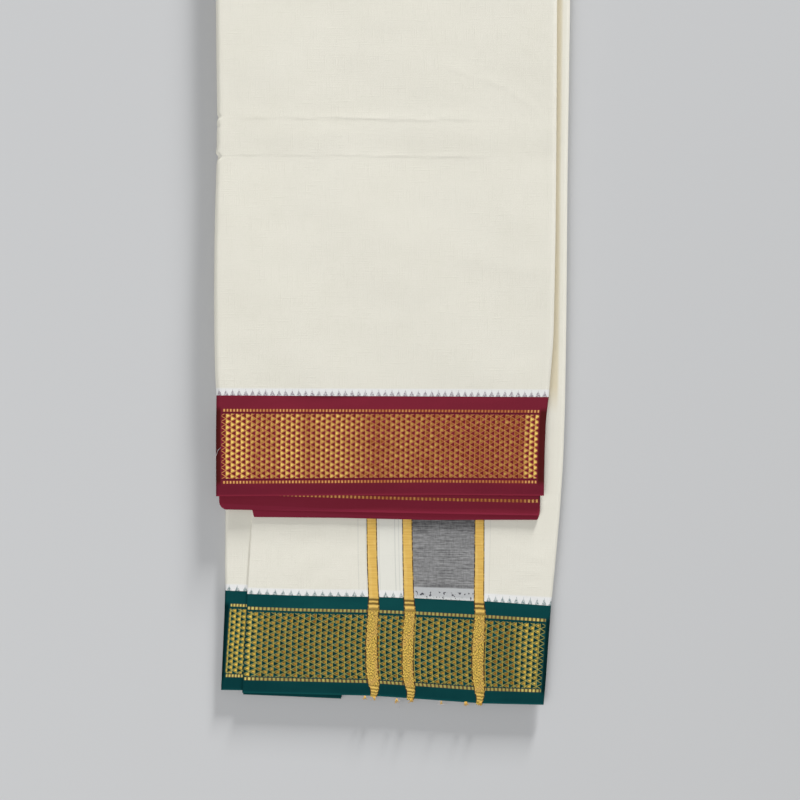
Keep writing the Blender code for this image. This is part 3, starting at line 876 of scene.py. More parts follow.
class Shader:
    """A material's nodes, with short calls for the ones that the looks need."""

    def __init__(self, name):
        self.material = bpy.data.materials.new(name)
        self.material.use_nodes = True
        self.tree = self.material.node_tree
        place = self.node("UVMap")
        place.uv_map = "Cloth"
        parts = self.node("SeparateXYZ")
        self.tree.links.new(place.outputs["UV"], parts.inputs["Vector"])
        self.u = Value(self, parts.outputs["X"]) * 1000.0
        self.v = Value(self, parts.outputs["Y"]) * 1000.0

    def node(self, kind):
        return self.tree.nodes.new("ShaderNode" + kind)

    def put(self, socket, value):
        if isinstance(value, Value):
            self.tree.links.new(value.socket, socket)
        else:
            socket.default_value = value

    def math(self, operation, first, second=0.0, third=0.0, clamp=False):
        item = self.node("Math")
        item.operation = operation
        item.use_clamp = clamp
        for socket, value in zip(item.inputs, (first, second, third)):
            self.put(socket, value)
        return Value(self, item.outputs[0])

    def noise(self, across, along, detail=2.0, seed=0.0, roughness=0.5):
        """Noise with its own pitch across and along the cloth, in features to the millimetre."""
        vector = self.node("CombineXYZ")
        self.put(vector.inputs["X"], self.u.scaled(across))
        self.put(vector.inputs["Y"], self.v.scaled(along))
        self.put(vector.inputs["Z"], seed)
        item = self.node("TexNoise")
        self.tree.links.new(vector.outputs[0], item.inputs["Vector"])
        item.inputs["Scale"].default_value = 1.0
        item.inputs["Detail"].default_value = detail
        item.inputs["Roughness"].default_value = roughness
        return Value(self, item.outputs["Fac"])

    def mix(self, factor, first, second):
        """A colour between two others, each a screen colour or what a node gives."""
        item = self.node("Mix")
        item.data_type = "RGBA"
        self.put(item.inputs[0], factor)
        for socket, colour in ((item.inputs[6], first), (item.inputs[7], second)):
            self.put(socket, linear(colour) if isinstance(colour, tuple) else colour)
        return Value(self, item.outputs[2])

    def blend(self, factor, first, second):
        """A number between two others."""
        item = self.node("Mix")
        item.data_type = "FLOAT"
        self.put(item.inputs[0], factor)
        self.put(item.inputs[2], first)
        self.put(item.inputs[3], second)
        return Value(self, item.outputs[0])

    def profile(self, value, marks):
        """A curve through given points: pairs of a distance in millimetres and a brightness."""
        span = marks[-1][0] * 1.02
        item = self.node("ValToRGB")
        ramp = item.color_ramp
        for position, level in marks[1:-1]:
            ramp.elements.new(position / span)
        for element, (position, level) in zip(ramp.elements, marks):
            element.position = position / span
            element.color = (level, level, level, 1.0)
        self.put(item.inputs["Fac"], value / span)
        return Value(self, item.outputs["Color"])

    def weave(self, pitch):
        """Plain weave: threads that pass over and under each other."""
        return self.u.wave(pitch) * self.v.wave(pitch)

    def finish(self, colour, roughness, height, relief, **others):
        """The material. Relief is in millimetres; the others are named with _ for each space."""
        surface = self.tree.nodes["Principled BSDF"].inputs
        self.put(surface["Base Color"], colour)
        self.put(surface["Roughness"], roughness)
        for name, value in others.items():
            self.put(surface[name.replace("_", " ")], value)
        bump = self.node("Bump")
        bump.inputs["Strength"].default_value = 0.7
        bump.inputs["Distance"].default_value = relief * MM
        self.put(bump.inputs["Height"], height)
        self.tree.links.new(bump.outputs["Normal"], surface["Normal"])
        return self.material


def temple_spikes(shader, rise, pitch, tall, base):
    """Stepped spikes with hair tips that stand on the border and point into the white strip."""
    uneven = shader.noise(0.35, 0.0, 1.0, 8.0).scaled(0.9, -0.45)
    cell = (shader.u + uneven).off_middle(pitch)
    level = rise / tall
    step = level.scaled(3.0).math("CEIL") / 3.0
    half = (step - level).scaled(-0.9, level.scaled(-base, base).scaled(1.0, 0.35))
    body = (half - cell).above(0.0, 0.5) * level.band(-0.2, 0.95, 0.08)
    hair = cell.below(0.16, 0.3) * level.band(0.0, 1.28, 0.15)
    grain = shader.noise(1.1, 1.3, 2.0, 3.0).contrast(0.40, 0.60)
    return body.larger(hair.scaled(0.8)) * grain.scaled(0.72, 0.26)


def cotton(name, spike_colour, pitches, cloth_length=0.0, stripes=False):
    """Cream cotton with a white strip and spikes beside its border, and the end stripes' ground."""
    shader = Shader(name)
    u, v = shader.u, shader.v
    blotch = shader.noise(0.018, 0.018, 3.0, 1.0).contrast(0.35, 0.65)
    cloud = shader.noise(0.09, 0.07, 2.0, 5.0).contrast(0.35, 0.65)
    colour = shader.mix(cloud.scaled(0.2, 0.2) * blotch, CREAM, CREAM_SHADE)
    warp = shader.noise(1.6, 0.05, 2.0, 7.0).contrast(0.56, 0.74)
    weft = shader.noise(0.05, 1.6, 2.0, 9.0).contrast(0.56, 0.74)
    slub = warp.larger(weft)
    colour = shader.mix(slub * 0.07, colour, SLUB_SHADE)
    rise = v * -1.0
    strip = rise.band(-2.0, STRIP_DEPTH - 0.5, 1.2)
    if stripes:
        colour, open_ground = end_stripe_ground(shader, colour, rise)
        strip = strip * open_ground
    colour = shader.mix(strip, colour, STRIP_WHITE)
    spikes = temple_spikes(shader, rise, pitches[0], 3.7, 1.75)
    if len(pitches) > 1:
        right = temple_spikes(shader, rise, pitches[1], 3.5, 1.55)
        spikes = shader.blend(u.above(170.0, 0.2), spikes, right)
    colour = shader.mix(spikes * strip, colour, spike_colour)
    if cloth_length:
        far = v.scaled(1.0, cloth_length)
        far_strip = far.band(-2.0, STRIP_DEPTH - 0.5, 1.2)
        colour = shader.mix(far_strip, colour, STRIP_WHITE)
        far_spikes = temple_spikes(shader, far, 6.0, 3.7, 1.75)
        colour = shader.mix(far_spikes * far_strip, colour, TEAL_GREY)
    height = shader.weave(0.56).scaled(0.35) + slub.scaled(0.9)
    roughness = cloud.scaled(0.06, 0.90)
    sheen = {"Sheen_Weight": 0.06, "Sheen_Roughness": 0.5, "Specular_IOR_Level": 0.12}
    return shader.finish(colour, roughness, height, 0.06, **sheen)


def grey_band(shader, rise):
    """The slub band between two of the stripes: grey streaks over a pale end with dark flecks."""
    u = shader.u
    streak = shader.noise(0.05, 1.35, 4.0, 21.0, 0.65).contrast(0.36, 0.64)
    knots = shader.noise(0.26, 0.9, 2.0, 27.0).contrast(0.40, 0.62)
    fine = shader.noise(1.2, 0.16, 3.0, 23.0).contrast(0.34, 0.66)
    tone = streak.scaled(0.56) + fine.scaled(0.18) + knots.scaled(0.22)
    tone = tone - rise.band(8.6, 11.5, 1.5).scaled(0.12)
    tone = tone.math("SUBTRACT", rise.above(53.5, 9.0).scaled(0.30), clamp=True)
    grey = shader.mix(tone, GREY_DARK, GREY_LIGHT)
    grey = shader.mix(u.below(124.2, 0.8).scaled(0.5), grey, GREY_BLUE)
    grey = shader.mix(u.above(173.4, 1.4).scaled(0.4), grey, GREY_BROWN)
    jagged = rise + shader.noise(0.7, 0.0, 2.0, 33.0, 0.7).scaled(3.0, -1.5)
    pale = shader.mix(jagged.below(1.8, 1.2), LAVENDER, LAVENDER_LIGHT)
    flecks = shader.noise(0.50, 0.46, 1.0, 31.0, 0.6).above(0.615, 0.04)
    pale = shader.mix((flecks * rise.band(0.4, 5.6, 0.8)).scaled(0.9), pale, FLECK)
    pale = shader.mix(jagged.below(0.0, 0.5).scaled(0.9), pale, GREEN_DARK)
    return shader.mix(rise.above(8.6, 0.5), pale, grey)


def end_stripe_ground(shader, colour, rise):
    """The cream with the grey band, faint lines and a painted warm shade beside the leaf above, and where
    spikes may stand on it.
    """
    u = shader.u
    colour = shader.mix(u.band(99.5, 118.0, 0.6) * 0.4, colour, WHITER)
    for middle, half, strength in FAINT_LINES:
        line = u.band(middle - half, middle + half, 0.3)
        colour = shader.mix(line * strength, colour, FAINT_GREY)
    inside = u.band(*GREY_BAND, 0.4)
    colour = shader.mix(inside, colour, grey_band(shader, rise))
    # Painted warm shade on the cream beside the edge of the leaf above
    painted_shade_beside_leaf = u.band(215.0, 223.4, 1.6) * rise.above(150.0, 20.0)
    return shader.mix(painted_shade_beside_leaf.scaled(0.5), colour, WARM_SHADE), inside.rest()


def zari_border(name, ground, gold, painted_sheen, lattice, dashes, hairline):
    """A border weave: a lattice of gold triangles between two rows of gold dashes."""
    shader = Shader(name)
    u, v = shader.u, shader.v
    plain, light, dark, field_colour, curl_shade_colour = ground
    dull, bright, line_dull, line_bright, dash_dull, dash_bright = gold
    low, high, left, right = lattice.low, lattice.high, lattice.left, lattice.right
    wobble = shader.noise(0.05, 0.10, 2.0, 2.0).scaled(1.0, -0.5)
    sway = shader.noise(0.11, 0.03, 1.0, 4.0).scaled(0.8, -0.4)
    column_at = (u + wobble) / (lattice.column * lattice.direction)
    column = column_at.math("FLOOR")
    inside = column_at - column
    row_at = (v + sway) / lattice.row + (column * 0.5).math("FRACT")
    from_row = abs(row_at.math("FRACT").scaled(1.0, -0.5))
    depth = inside.scaled(-0.5, 0.5) - from_row
    post = inside.below(0.08, 0.06) * from_row.below(0.46, 0.06)
    lines = abs(depth).math("MULTIPLY_ADD", -20.0, 1.4, clamp=True).larger(post)
    field = v.band(low, high, 0.35) * u.band(left, right, 0.9)
    fill = depth.above(lattice.core, 0.05) * inside.above(0.10, 0.08)
    fill = fill * field * u.band(lattice.solid, lattice.solid_end, 1.2)
    lines = lines * field
    first_row = v.band(dashes.first - dashes.half, dashes.first + dashes.half, 0.3)
    second_row = v.band(dashes.second - dashes.half, dashes.second + dashes.half, 0.3)
    dash_rows = first_row.larger(second_row)
    dash_reach = u.band(left + 0.6, right, 0.8)
    dash = u.off_middle(dashes.pitch).below(dashes.width / 2, 0.3) * dash_rows * dash_reach

    patchy = shader.noise(0.06, 0.014, 2.0, 11.0).scaled(0.7, -0.35)
    spark = shader.noise(0.28, 0.28, 2.0, 13.0, 0.6).scaled(1.5, -0.75)
    # Painted sheen: the gold's highlight and shade from the profile, with random patches and sparks
    tone = (shader.profile(u, painted_sheen) + patchy).math("ADD", spark, clamp=True)
    patch = shader.noise(0.02, 0.05, 2.0, 15.0).contrast(0.42, 0.62)
    streak = shader.noise(0.9, 0.02, 2.0, 17.0).contrast(0.52, 0.72)
    base = shader.mix(patch.scaled(0.45), plain, light)
    base = shader.mix(streak * 0.2, base, light)
    base = shader.mix(v.above(64.0, 6.0) * 0.35, base, dark)
    # Painted shade on the curled side edges of the border, outside the lattice
    beside = u.band(left - 0.6, right + 0.6, 1.4).rest() * v.band(low - 4.0, high + 4.0, 4.0)
    base = shader.mix(beside * 0.85, base, curl_shade_colour)
    shade = v.band(low - 1.4, low - 0.2, 0.4).larger(v.band(high + 0.2, high + 1.2, 0.4))
    shade = shade * u.band(left, right, 1.0)
    colour = shader.mix(shade * hairline, base, dark)
    worn = shader.noise(0.35, 0.35, 1.0, 19.0).contrast(0.45, 0.65)
    field_tone = shader.mix(worn.scaled(0.8), field_colour, light)
    colour = shader.mix(field * 0.9, colour, field_tone)
    colour = shader.mix(fill, colour, shader.mix(tone, dull, bright))
    outline = shader.mix(tone.scaled(0.65, 0.35), line_dull, line_bright)
    colour = shader.mix(lines * 0.9, colour, outline)
    colour = shader.mix(dash_rows * dash_reach * 0.45, colour, dull)
    colour = shader.mix(dash, colour, shader.mix(tone, dash_dull, dash_bright))
    # A lighter line along the rolled selvedge: a painted highlight
    rim = v.band(BORDER_DEPTH - 1.0, BORDER_DEPTH + 3.0, 0.5)
    colour = shader.mix(rim * 0.6, colour, light)
    raised = fill.larger(dash).larger(lines * 0.7)
    height = shader.weave(0.5).scaled(0.2) + raised.scaled(0.7)
    height = height + v.wave(0.62) * raised * 0.25
    roughness = shader.blend(raised, 0.85, 0.45)
    metal = {"Specular_IOR_Level": 0.03, "Metallic": raised * 0.2}
    return shader.finish(colour, roughness, height, 0.06, **metal)


def gold_stripe(name):
    """The woven end stripe: fine ribs above the border, a grained gold below it."""
    shader = Shader(name)
    u, v = shader.u, shader.v
    in_border = v.above(9.3, 0.8)
    rib = v.wave(1.05)
    uneven = shader.noise(0.03, 0.7, 3.0, 41.0).contrast(0.40, 0.62)
    ribbed = shader.mix(uneven.scaled(0.45), STRIPE_GOLD, STRIPE_SHADE)
    ribbed = shader.mix(rib.scaled(0.06, 0.06), ribbed, STRIPE_OLIVE)
    glint = shader.noise(0.22, 0.05, 2.0, 43.0).contrast(0.52, 0.75)
    ribbed = shader.mix(glint.scaled(0.5), ribbed, STRIPE_PALE)
    moved = u + shader.noise(0.25, 0.25, 2.0, 51.0).scaled(2.4)
    chevron = ((v + moved.off_middle(3.4).scaled(1.25)) / 2.3).math("FRACT")
    stroke = abs(chevron.scaled(2.0, -1.0)).contrast(0.2, 0.8)
    flecks = shader.noise(1.1, 0.95, 2.0, 45.0, 0.6).contrast(0.40, 0.57)
    grain = stroke.scaled(0.32) + flecks.scaled(0.68)
    woven = shader.mix(grain, WOVEN_DARK, WOVEN_LIGHT)
    rosy = shader.noise(0.16, 0.12, 2.0, 53.0).contrast(0.50, 0.70)
    woven = shader.mix(rosy.scaled(0.4), woven, WOVEN_PINK)
    colour = shader.mix(in_border, ribbed, woven)
    along = v + shader.noise(0.22, 0.02, 1.0, 47.0).scaled(1.4, -0.7)
    # Dark bands: woven olive ones, and painted shade between the gathered rolls at the end
    dark = 0.0
    for low, high, strength in STRIPE_BANDS:
        dark = (along.band(low, high, 0.9) * strength).larger(dark)
    colour = shader.mix(dark, colour, STRIPE_OLIVE)
    # Painted highlights on the rounded rolls
    shining = 0.0
    for low, high in ROLL_HIGHLIGHTS:
        shining = along.band(low, high, 1.0).larger(shining)
    colour = shader.mix(shining * 0.75, colour, STRIPE_ROLL)
    broken = shader.noise(0.3, 0.5, 2.0, 49.0).contrast(0.40, 0.49)
    gaps = shader.blend(in_border, broken.scaled(0.5, 0.5), broken)
    edge = abs(u).above(4.15, 0.25) * gaps
    colour = shader.mix(edge, colour, STRIPE_EDGE)
    height = rib.scaled(0.4) + grain * in_border * 1.2
    metal = {"Specular_IOR_Level": 0.2, "Metallic": shader.blend(edge, 0.28, 0.0)}
    return shader.finish(colour, grain.scaled(0.10, 0.44), height, 0.10, **metal)


def thread_material(name, colour, shade, metallic):
    shader = Shader(name)
    tone = shader.noise(2.0, 2.0, 2.0, 61.0).contrast(0.3, 0.7)
    twist = (shader.v + shader.u).wave(0.5)
    return shader.finish(shader.mix(tone, colour, shade), 0.6, twist, 0.04, Metallic=metallic)


# Pieces


def on_root(item, slot, *nodes):
    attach(item, "root")
    if nodes:
        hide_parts(*nodes)
    return item


def joined_rows(*stretches):
    """Several stretches of one cloth end to end, with the distance along it from its border."""
    data = np.concatenate(stretches)
    distance = run_along(middle_line(data))
    keep = np.r_[True, np.diff(distance) > 1e-6]
    return data[keep], -distance[keep]


def lower_rows(front, back, step, closer, radius, steps):
    """The rows of a lower leaf: the face that shows, the tight inner fold and the way back."""
    visible, _ = refined(front, step, closer)
    nose = fold_rows(front[-1], back[0], (radius, radius), steps, inward=True)
    hidden, _ = refined(back, 12.0)
    return joined_rows(visible, nose, hidden)


def border_rows(table_rows, step):
    """A border's rows from its cream edge to its selvedge, at its true depth."""
    rows, at = refined(table_rows, step)
    return rows, at * BORDER_DEPTH / at[-1]


def edge_rows(table_rows, step, ease):
    """The rows of a border of which only the selvedge shows."""
    rows, at = refined(table_rows, step, ease=ease)
    return rows, at - at[-1] + BORDER_DEPTH


def near_border(rows, along):
    """How closely each row is mapped: the white strip most, hidden rows least."""
    steps = (along[:-1] + along[1:]) / 2
    closeness = np.where(steps > -9, 9.0, 1.0)
    return np.where(rows[:-1, 5] > 90, 0.6 * closeness, closeness)


def stripes_in_view(rows, along):
    steps = (along[:-1] + along[1:]) / 2
    return np.where(steps > -9, 12.0, np.where(steps > -72, 9.0, 0.5))


def border_cloth(name, face, material, slot, node):
    """A border or its edge as a shell that takes the place of its solid."""
    return on_root(cloth_shell(name, face, CLOTH, material, halves=2), slot, node)


def outer_leaf(cream, maroon, green):
    top, _ = refined(TOP_BODY, 3.4, ((52, 58, 0.55), (76, 87, 0.6), (87, 122, 1.2)))
    top = nicked(top, TOP_NICKS)
    nose = fold_rows(top[-1], UNDER_BODY[0], (FOLD_RADIUS, FOLD_RADIUS), 16)
    under, _ = refined(UNDER_BODY, 5.0)
    rows, along = joined_rows(top, nose, under)
    body = cloth_surface(rows, along, 92, UPPER_BOW, TOP_CREASES, 3, 248.4, 0, under=UNDER_CREASES)
    cloth = cloth_shell("top_leaf_cloth", body, CLOTH, cream, close_rows=near_border)
    on_root(cloth, "cream_cotton", "top_leaf_body", "top_fold", "under_leaf_body")

    rows, along = border_rows(MAROON_BORDER, 1.7)
    face = cloth_surface(rows, along, 92, UPPER_BOW, (), 5, 248.4, BORDER_DEPTH)
    border = border_cloth("top_leaf_border_cloth", face, maroon, MAROON_SLOT, "top_leaf_maroon_border")

    rows, along = border_rows(UNDER_BORDER, 2.5)
    face = cloth_surface(rows, along, 92, NO_BOW, (), 7, 240.0, 0)
    border = border_cloth("under_leaf_border_cloth", face, green, GREEN_SLOT, "under_leaf_green_border")


def lower_leaf(striped, green, gold):
    rows, along = lower_rows(LOWER_BODY, LOWER_RETURN, 4.5, ((-290, -205, 1.3),), 0.25, 8)
    body = cloth_surface(rows, along, 92, LOWER_BOW, LOWER_CREASES, 11, 228.0, 0)
    body = placed_by_stripes(body)
    cloth = cloth_shell("lower_leaf_cloth", body, CLOTH, striped, close_rows=stripes_in_view)
    on_root(cloth, "striped_cream_cotton", "lower_leaf_body")
    rows, along = border_rows(GREEN_BORDER, 1.7)
    face = cloth_surface(rows, along, 92, LOWER_BOW, (), 13, 228.0, BORDER_DEPTH)
    face = placed_by_stripes(face)
    border = border_cloth("lower_leaf_border_cloth", face, green, GREEN_SLOT, "lower_leaf_green_border")
    ribbons = end_stripes(body, face, gold)


def second_lower_leaf(cream, green):
    rows, along = lower_rows(SECOND_BODY, SECOND_RETURN, 5.0, ((-290, -200, 2.0),), 1.55, 10)
    body = cloth_surface(rows, along, 70, NO_BOW, (), 17, 242.0, 0, 0.7)
    cloth = cloth_shell("second_lower_leaf_cloth", body, CLOTH, cream, close_rows=near_border)
    on_root(cloth, "cream_cotton", "second_lower_leaf_body")
    rows, along = border_rows(SECOND_GREEN, 2.0)
    face = cloth_surface(rows, along, 70, NO_BOW, (), 19, 242.0, BORDER_DEPTH, 0.7)
    face = face._replace(across=face.across - 1.8 * (1 - face.along / BORDER_DEPTH))
    node = "second_lower_leaf_green_border"
    border = border_cloth("second_lower_border_cloth", face, green, GREEN_SLOT, node)


def border_ends(maroon, green):
    """The border edges that step out below the leaves on top of them."""
    for name, rows_table, bow, node, seed, rise in (
        ("second_maroon_cloth", SECOND_MAROON, NO_BOW, "second_maroon_leaf", 23, 3.6),
        ("third_maroon_cloth", THIRD_MAROON, THIRD_BOW, "third_maroon_leaf", 29, 2.9),
    ):
        rows, along = edge_rows(rows_table, 1.8, 0.9)
        face = cloth_surface(rows, along, 80, bow, (), seed, 244.0, BORDER_DEPTH, 0.6)
        share = face.across / face.across.max()
        face = face._replace(along=face.along + rise * (1 - share) ** 2 + 0.9 * share)
        cloth = border_cloth(name, face, maroon, MAROON_SLOT, node)
    rows, along = edge_rows(PEEKING_GREEN, 2.4, 3.0)
    face = cloth_surface(rows, along, 30, NO_BOW, (), 31, 75.0, BORDER_DEPTH, 0.5)
    cloth = border_cloth("peeking_green_cloth", face, green, GREEN_SLOT, "peeking_green_leaf")


def row_at(surface, along):
    """The grid's row at a distance along the cloth, from left to right."""
    order = np.argsort(surface.along[:, 0])
    points = surface.points[order].reshape(len(order), -1)
    line = resampled([along], surface.along[order, 0], points).reshape(-1, 3)
    return line[np.argsort(line[:, 0])]


def end_stripes(body, border, gold):
    """The three gold stripes, each a thin ribbon woven along the face of the lower leaf."""
    across = np.linspace(-1, 1, 9)
    made = []
    for name, stripe in STRIPES.items():
        data = np.array(stripe, float)
        places = np.r_[np.linspace(-620, -84, 68), np.linspace(-80, data[-1, 0], 120)]
        grid = []
        for along in places:
            line = row_at(body if along < 0 else border, min(along, BORDER_DEPTH))
            middle, half = (np.interp(along, data[:, 0], data[:, k]) for k in (1, 2))
            xs = middle + half * across
            ys = np.interp(xs, line[:, 0], line[:, 1]) - max(0.0, along - BORDER_DEPTH)
            zs = np.interp(xs, line[:, 0], line[:, 2])
            rib = 0.05 * math.sin(along * 2 * math.pi / 2.1) if along > -90 else 0.0
            pinch = 0.45 * np.clip((along - 62) / 8, 0, 1)
            rolls = 0.5 + 0.5 * math.cos((along - 68.2) * 2 * math.pi / 2.4)
            lift = 0.10 + (0.16 + rib) * (1 - across**4) + pinch * (0.4 + 0.6 * rolls) * (1 - across**2)
            grid.append(np.stack([xs, ys, zs + lift], axis=1))
        widths = np.tile(across * 5.0, (len(places), 1))
        runs = np.repeat(places[:, None], len(across), axis=1)
        surface = Surface(np.array(grid), widths, runs, np.zeros((len(places), 10)))
        ribbon = cloth_shell(f"gold_stripe_{name}", surface, RIBBON, gold, close_rows=stripes_in_view)
        made.append(on_root(ribbon, "zari_thread"))
    return made


def narrowed(rows, insets, swing):
    """The rows drawn in at both ends, swaying a little to one side and the other."""
    rows[:, 0] += insets[0] + swing
    rows[:, 2] -= insets[1] + swing


def hidden_leaf_rows(number):
    """One hidden folded leaf, from the upper half round the fold to the lower half."""
    top, _ = refined(TOP_BODY, 6.0)
    end = np.array(MAROON_BORDER[1], float)
    end[[1, 3]] = UPPER_END
    upper = np.concatenate([end[None, :], top])
    pitch = (upper[:, 4] - UPPER_CLEAR - UPPER_FLOOR) / FOLDED_LAYERS
    thick = LEAF_SHARE * pitch
    upper[:, 4] = upper[:, 4] - UPPER_CLEAR - number * pitch
    insets = ((2.7, 2.8), (1.8, 1.7), (1.2, 1.3), (0.6, 0.9))[number]
    narrowed(upper, insets, 0.35 * np.sin(upper[:, 1] / 31.0 + 2.1 * number))
    lower, _ = refined(SECOND_BODY[::-1], 6.0)
    lower[:, 4] = LOWER_FLOOR + number * LOWER_PITCH
    lower[:, 5] = 180
    insets = ((0.6, 1.4), (1.1, 0.4), (0.4, 1.2), (1.8, 1.0))[number]
    narrowed(lower, insets, 0.35 * np.sin(lower[:, 1] / 27.0 + 1.7 * number))
    steps = 14
    nose = fold_rows(upper[-1], lower[0], (upper[-1, 4] - FOLD_Z, FOLD_Z - lower[0, 4]), steps)
    nose_thick = np.linspace(thick[-1], LOWER_LEAF, steps + 1)[1:-1]
    rows = np.concatenate([upper, nose, lower])
    thickness = np.r_[thick, nose_thick, np.full(len(lower), LOWER_LEAF)]
    return rows, thickness, -run_along(middle_line(rows)[:, 1:])


def end_leaf_rows(rows_table, number, low, clear, insets, setback):
    """One of three hidden leaves in a border, between a floor and the leaf on top of them."""
    rows, at = refined(rows_table, 3.0)
    keep = at <= at[-1] - setback
    rows = rows[keep]
    pitch = (rows[:, 4] - clear - low) / BORDER_LEAVES
    rows[:, 4] = rows[:, 4] - clear - number * pitch
    narrowed(rows, insets, 0.3 * np.sin(rows[:, 1] / 15.0 + 2.0 * number))
    return rows, LEAF_SHARE * pitch, at[keep]


def hidden_folds(cream, maroon, green):
    leaves = [hidden_leaf_rows(number) for number in range(FOLDED_LAYERS)]
    folds = pressed_leaves("body_folds", leaves, cream)
    on_root(folds, "cream_cotton", "upper_hidden_layers", "lower_hidden_layers")

    ends = table(0, ROUND, (14.65, 0, 0), (-132.1, -138.1, 115.5, -138.1)) + MAROON_BORDER[2:]
    sizes = (((2.2, 2.4), 3.2), ((1.6, 1.7), 4.6), ((1.3, 1.9), 3.8))
    leaves = [end_leaf_rows(ends, n, UPPER_FLOOR, 0.9, *size) for n, size in enumerate(sizes)]
    folds = pressed_leaves("maroon_folds", leaves, maroon)
    on_root(folds, MAROON_SLOT, "maroon_hidden_layers")

    sizes = (((1.9, 1.4), 2.6), ((1.2, 0.6), 3.4), ((0.5, 1.2), 2.8))
    leaves = [end_leaf_rows(SECOND_GREEN, n, LOWER_FLOOR, 2.3, *size) for n, size in enumerate(sizes)]
    folds = pressed_leaves("green_folds", leaves, green)
    on_root(folds, GREEN_SLOT, "green_hidden_layers")


def tube_rings(shape, path, radius):
    """Rings of points round a thread, thinner at its two ends."""
    points = smooth_path(path)
    rings = []
    for index, point in enumerate(points):
        before = points[max(index - 1, 0)]
        after = points[min(index + 1, len(points) - 1)]
        ahead = (after - before).normalized()
        aside = ahead.orthogonal().normalized()
        up = ahead.cross(aside)
        thin = radius * (0.55 if index in (0, len(points) - 1) else 1.0)
        turns = [2 * math.pi * side / TUBE_SIDES for side in range(TUBE_SIDES)]
        offsets = [aside * math.cos(turn) * thin + up * math.sin(turn) * thin for turn in turns]
        rings.append([shape.point(point + offset) for offset in offsets])
    return rings


def thread_tubes(name, paths, radius, material):
    """Loose threads as thin closed tubes in one object."""
    shape = MappedShape()
    cell = 0.98 / len(paths)
    for number, path in enumerate(paths):
        rings = tube_rings(shape, path, radius)
        low = 0.01 + cell * number
        for index, (near, far) in enumerate(zip(rings, rings[1:])):
            start = index / (len(rings) - 1)
            stop = (index + 1) / (len(rings) - 1)
            for side in range(TUBE_SIDES):
                after = (side + 1) % TUBE_SIDES
                corners = ((side, start), (side + 1, start), (side + 1, stop), (side, stop))
                bake = [(0.01 + 0.88 * run, low + cell * 0.85 * turn / TUBE_SIDES) for turn, run in corners]
                cloth = [(turn * 0.0002, run * 0.006) for turn, run in corners]
                shape.face((near[side], near[after], far[after], far[side]), bake, cloth)
        for end, ring in enumerate((rings[0][::-1], rings[-1])):
            middle = Vector((0.92 + 0.05 * end, low + cell * 0.4))
            reach = min(0.018, cell * 0.35)
            turns = [2 * math.pi * corner / TUBE_SIDES for corner in range(TUBE_SIDES)]
            bake = [middle + Vector((math.cos(turn), math.sin(turn))) * reach for turn in turns]
            cloth = [(corner * 0.0002, end * 0.006) for corner in range(TUBE_SIDES)]
            shape.face(ring, bake, cloth, smooth=False)
    return shape.finish(name, material)


def smooth_path(path):
    """The path's points with three more between each pair, on a smooth curve."""
    given = [Vector(point) for point in path]
    points = []
    for index, (start, end) in enumerate(zip(given, given[1:])):
        before = given[max(index - 1, 0)]
        after = given[min(index + 2, len(given) - 1)]
        first = end - before
        second = 2 * before - 5 * start + 4 * end - after
        third = 3 * start - before - 3 * end + after
        for t in (0.0, 0.25, 0.5, 0.75):
            points.append(0.5 * (2 * start + first * t + second * t * t + third * t * t * t))
    points.append(given[-1])
    return points


def cut_tufts(material):
    paths = []
    for x, y, z, length, threads, seed in TUFTS:
        rng = np.random.default_rng(seed)
        for _ in range(threads):
            lean = rng.uniform(-0.9, 0.9)
            reach = length * rng.uniform(0.5, 1.0)
            start = (x + rng.uniform(-0.8, 0.8), y + 0.6, z - 0.3 + rng.uniform(-0.1, 0.2))
            middle = (start[0] + lean * reach * 0.4, y - reach * 0.45, z - 0.1 + rng.uniform(0, 0.3))
            tip = (start[0] + lean * reach, y - reach, z - rng.uniform(0.3, 1.2))
            paths.append((start, middle, tip))
    return on_root(thread_tubes("zari_tufts", paths, 0.17, material), "zari_thread")


def loose_threads(material):
    return on_root(thread_tubes("loose_threads", LOOSE_PATHS, 0.13, material), "cream_cotton")


# Floor, light and camera


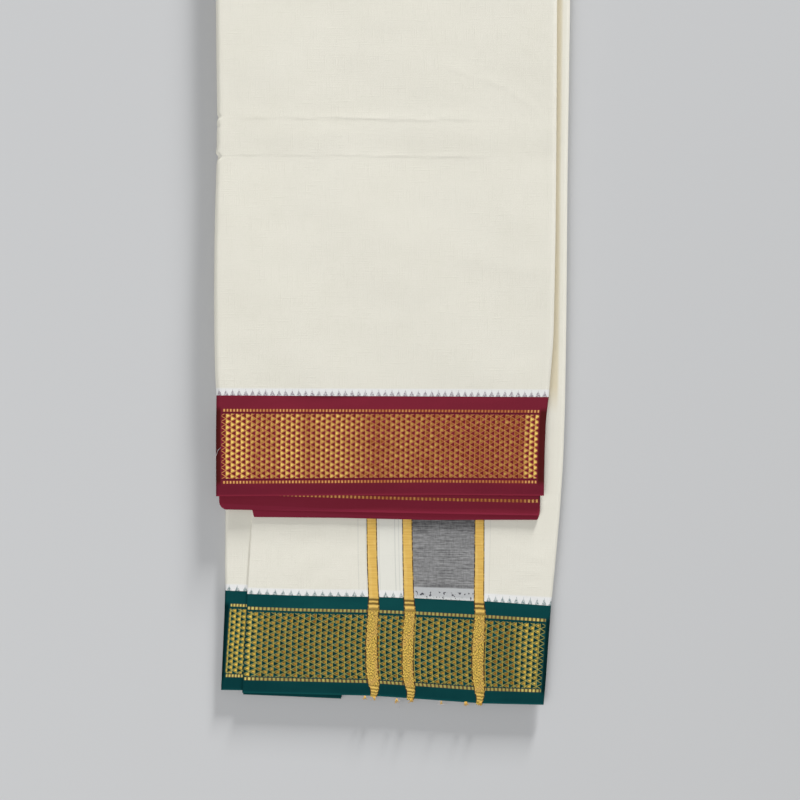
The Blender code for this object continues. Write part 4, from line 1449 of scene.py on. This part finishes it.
def studio():
    reach = 6.0
    mesh = bpy.data.meshes.new("floor")
    corners = [(-reach, -reach), (reach, -reach), (reach, reach), (-reach, reach)]
    mesh.from_pydata([(x, y, FLOOR_Z * MM) for x, y in corners], [], [(0, 1, 2, 3)])
    matt = bpy.data.materials.new("floor")
    matt.use_nodes = True
    surface = matt.node_tree.nodes["Principled BSDF"].inputs
    surface["Base Color"].default_value = linear(FLOOR_GREY)
    surface["Roughness"].default_value = 0.9
    mesh.materials.append(matt)
    floor = placed("floor", mesh)

    world = bpy.data.worlds.new("studio")
    world.use_nodes = True
    sky = world.node_tree.nodes["Background"].inputs
    sky["Color"].default_value = (0.97, 0.98, 1.0, 1.0)
    sky["Strength"].default_value = 0.2
    bpy.context.scene.world = world
    for name, place, power, width in (
        ("overhead", (-1.2, -1.3, 2.45), 56.0, 3.0),
        ("key", (1.7, 5.6, 1.22), 594.0, 0.9),
    ):
        light = bpy.data.lights.new(name, "AREA")
        light.energy = power
        light.size = width
        lamp = placed(name, light)
        lamp.location = place
        aim = Vector((0.0, -0.1, 0.0)) - Vector(place)
        lamp.rotation_euler = aim.to_track_quat("-Z", "Y").to_euler()
    bpy.context.scene.view_settings.view_transform = "Standard"


def camera():
    eye = bpy.data.cameras.new("camera")
    eye.lens = 120.0
    eye.sensor_width = 36.0
    eye.clip_start = 0.05
    item = placed("camera", eye)
    item.location = (0.0057, -0.1277, 2.010)
    bpy.context.scene.camera = item


def main():
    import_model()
    studio()
    camera()

    cream = cotton("cream_cotton", MAUVE, (4.95,), cloth_length=1112.0)
    lower_cream = cotton("lower_cream_cotton", TEAL_GREY, (6.0,))
    striped = cotton("striped_cream_cotton", TEAL_GREY, (6.0, 5.0), stripes=True)
    borders = [zari_border(name, *weave) for name, weave in BORDERS.items()]
    maroon, inner_maroon, green, second_green = borders
    gold = gold_stripe("gold_end_stripe")
    zari = thread_material("cut_zari", TUFT_GOLD, TUFT_SHADE, 0.2)
    loose = thread_material("loose_cotton", LOOSE_PALE, LOOSE_SHADE, 0.0)

    outer_leaf(cream, maroon, green)
    lower_leaf(striped, green, gold)
    second_lower_leaf(lower_cream, second_green)
    border_ends(inner_maroon, green)
    hidden_folds(lower_cream, maroon, green)
    cut_tufts(zari)
    loose_threads(loose)


main()
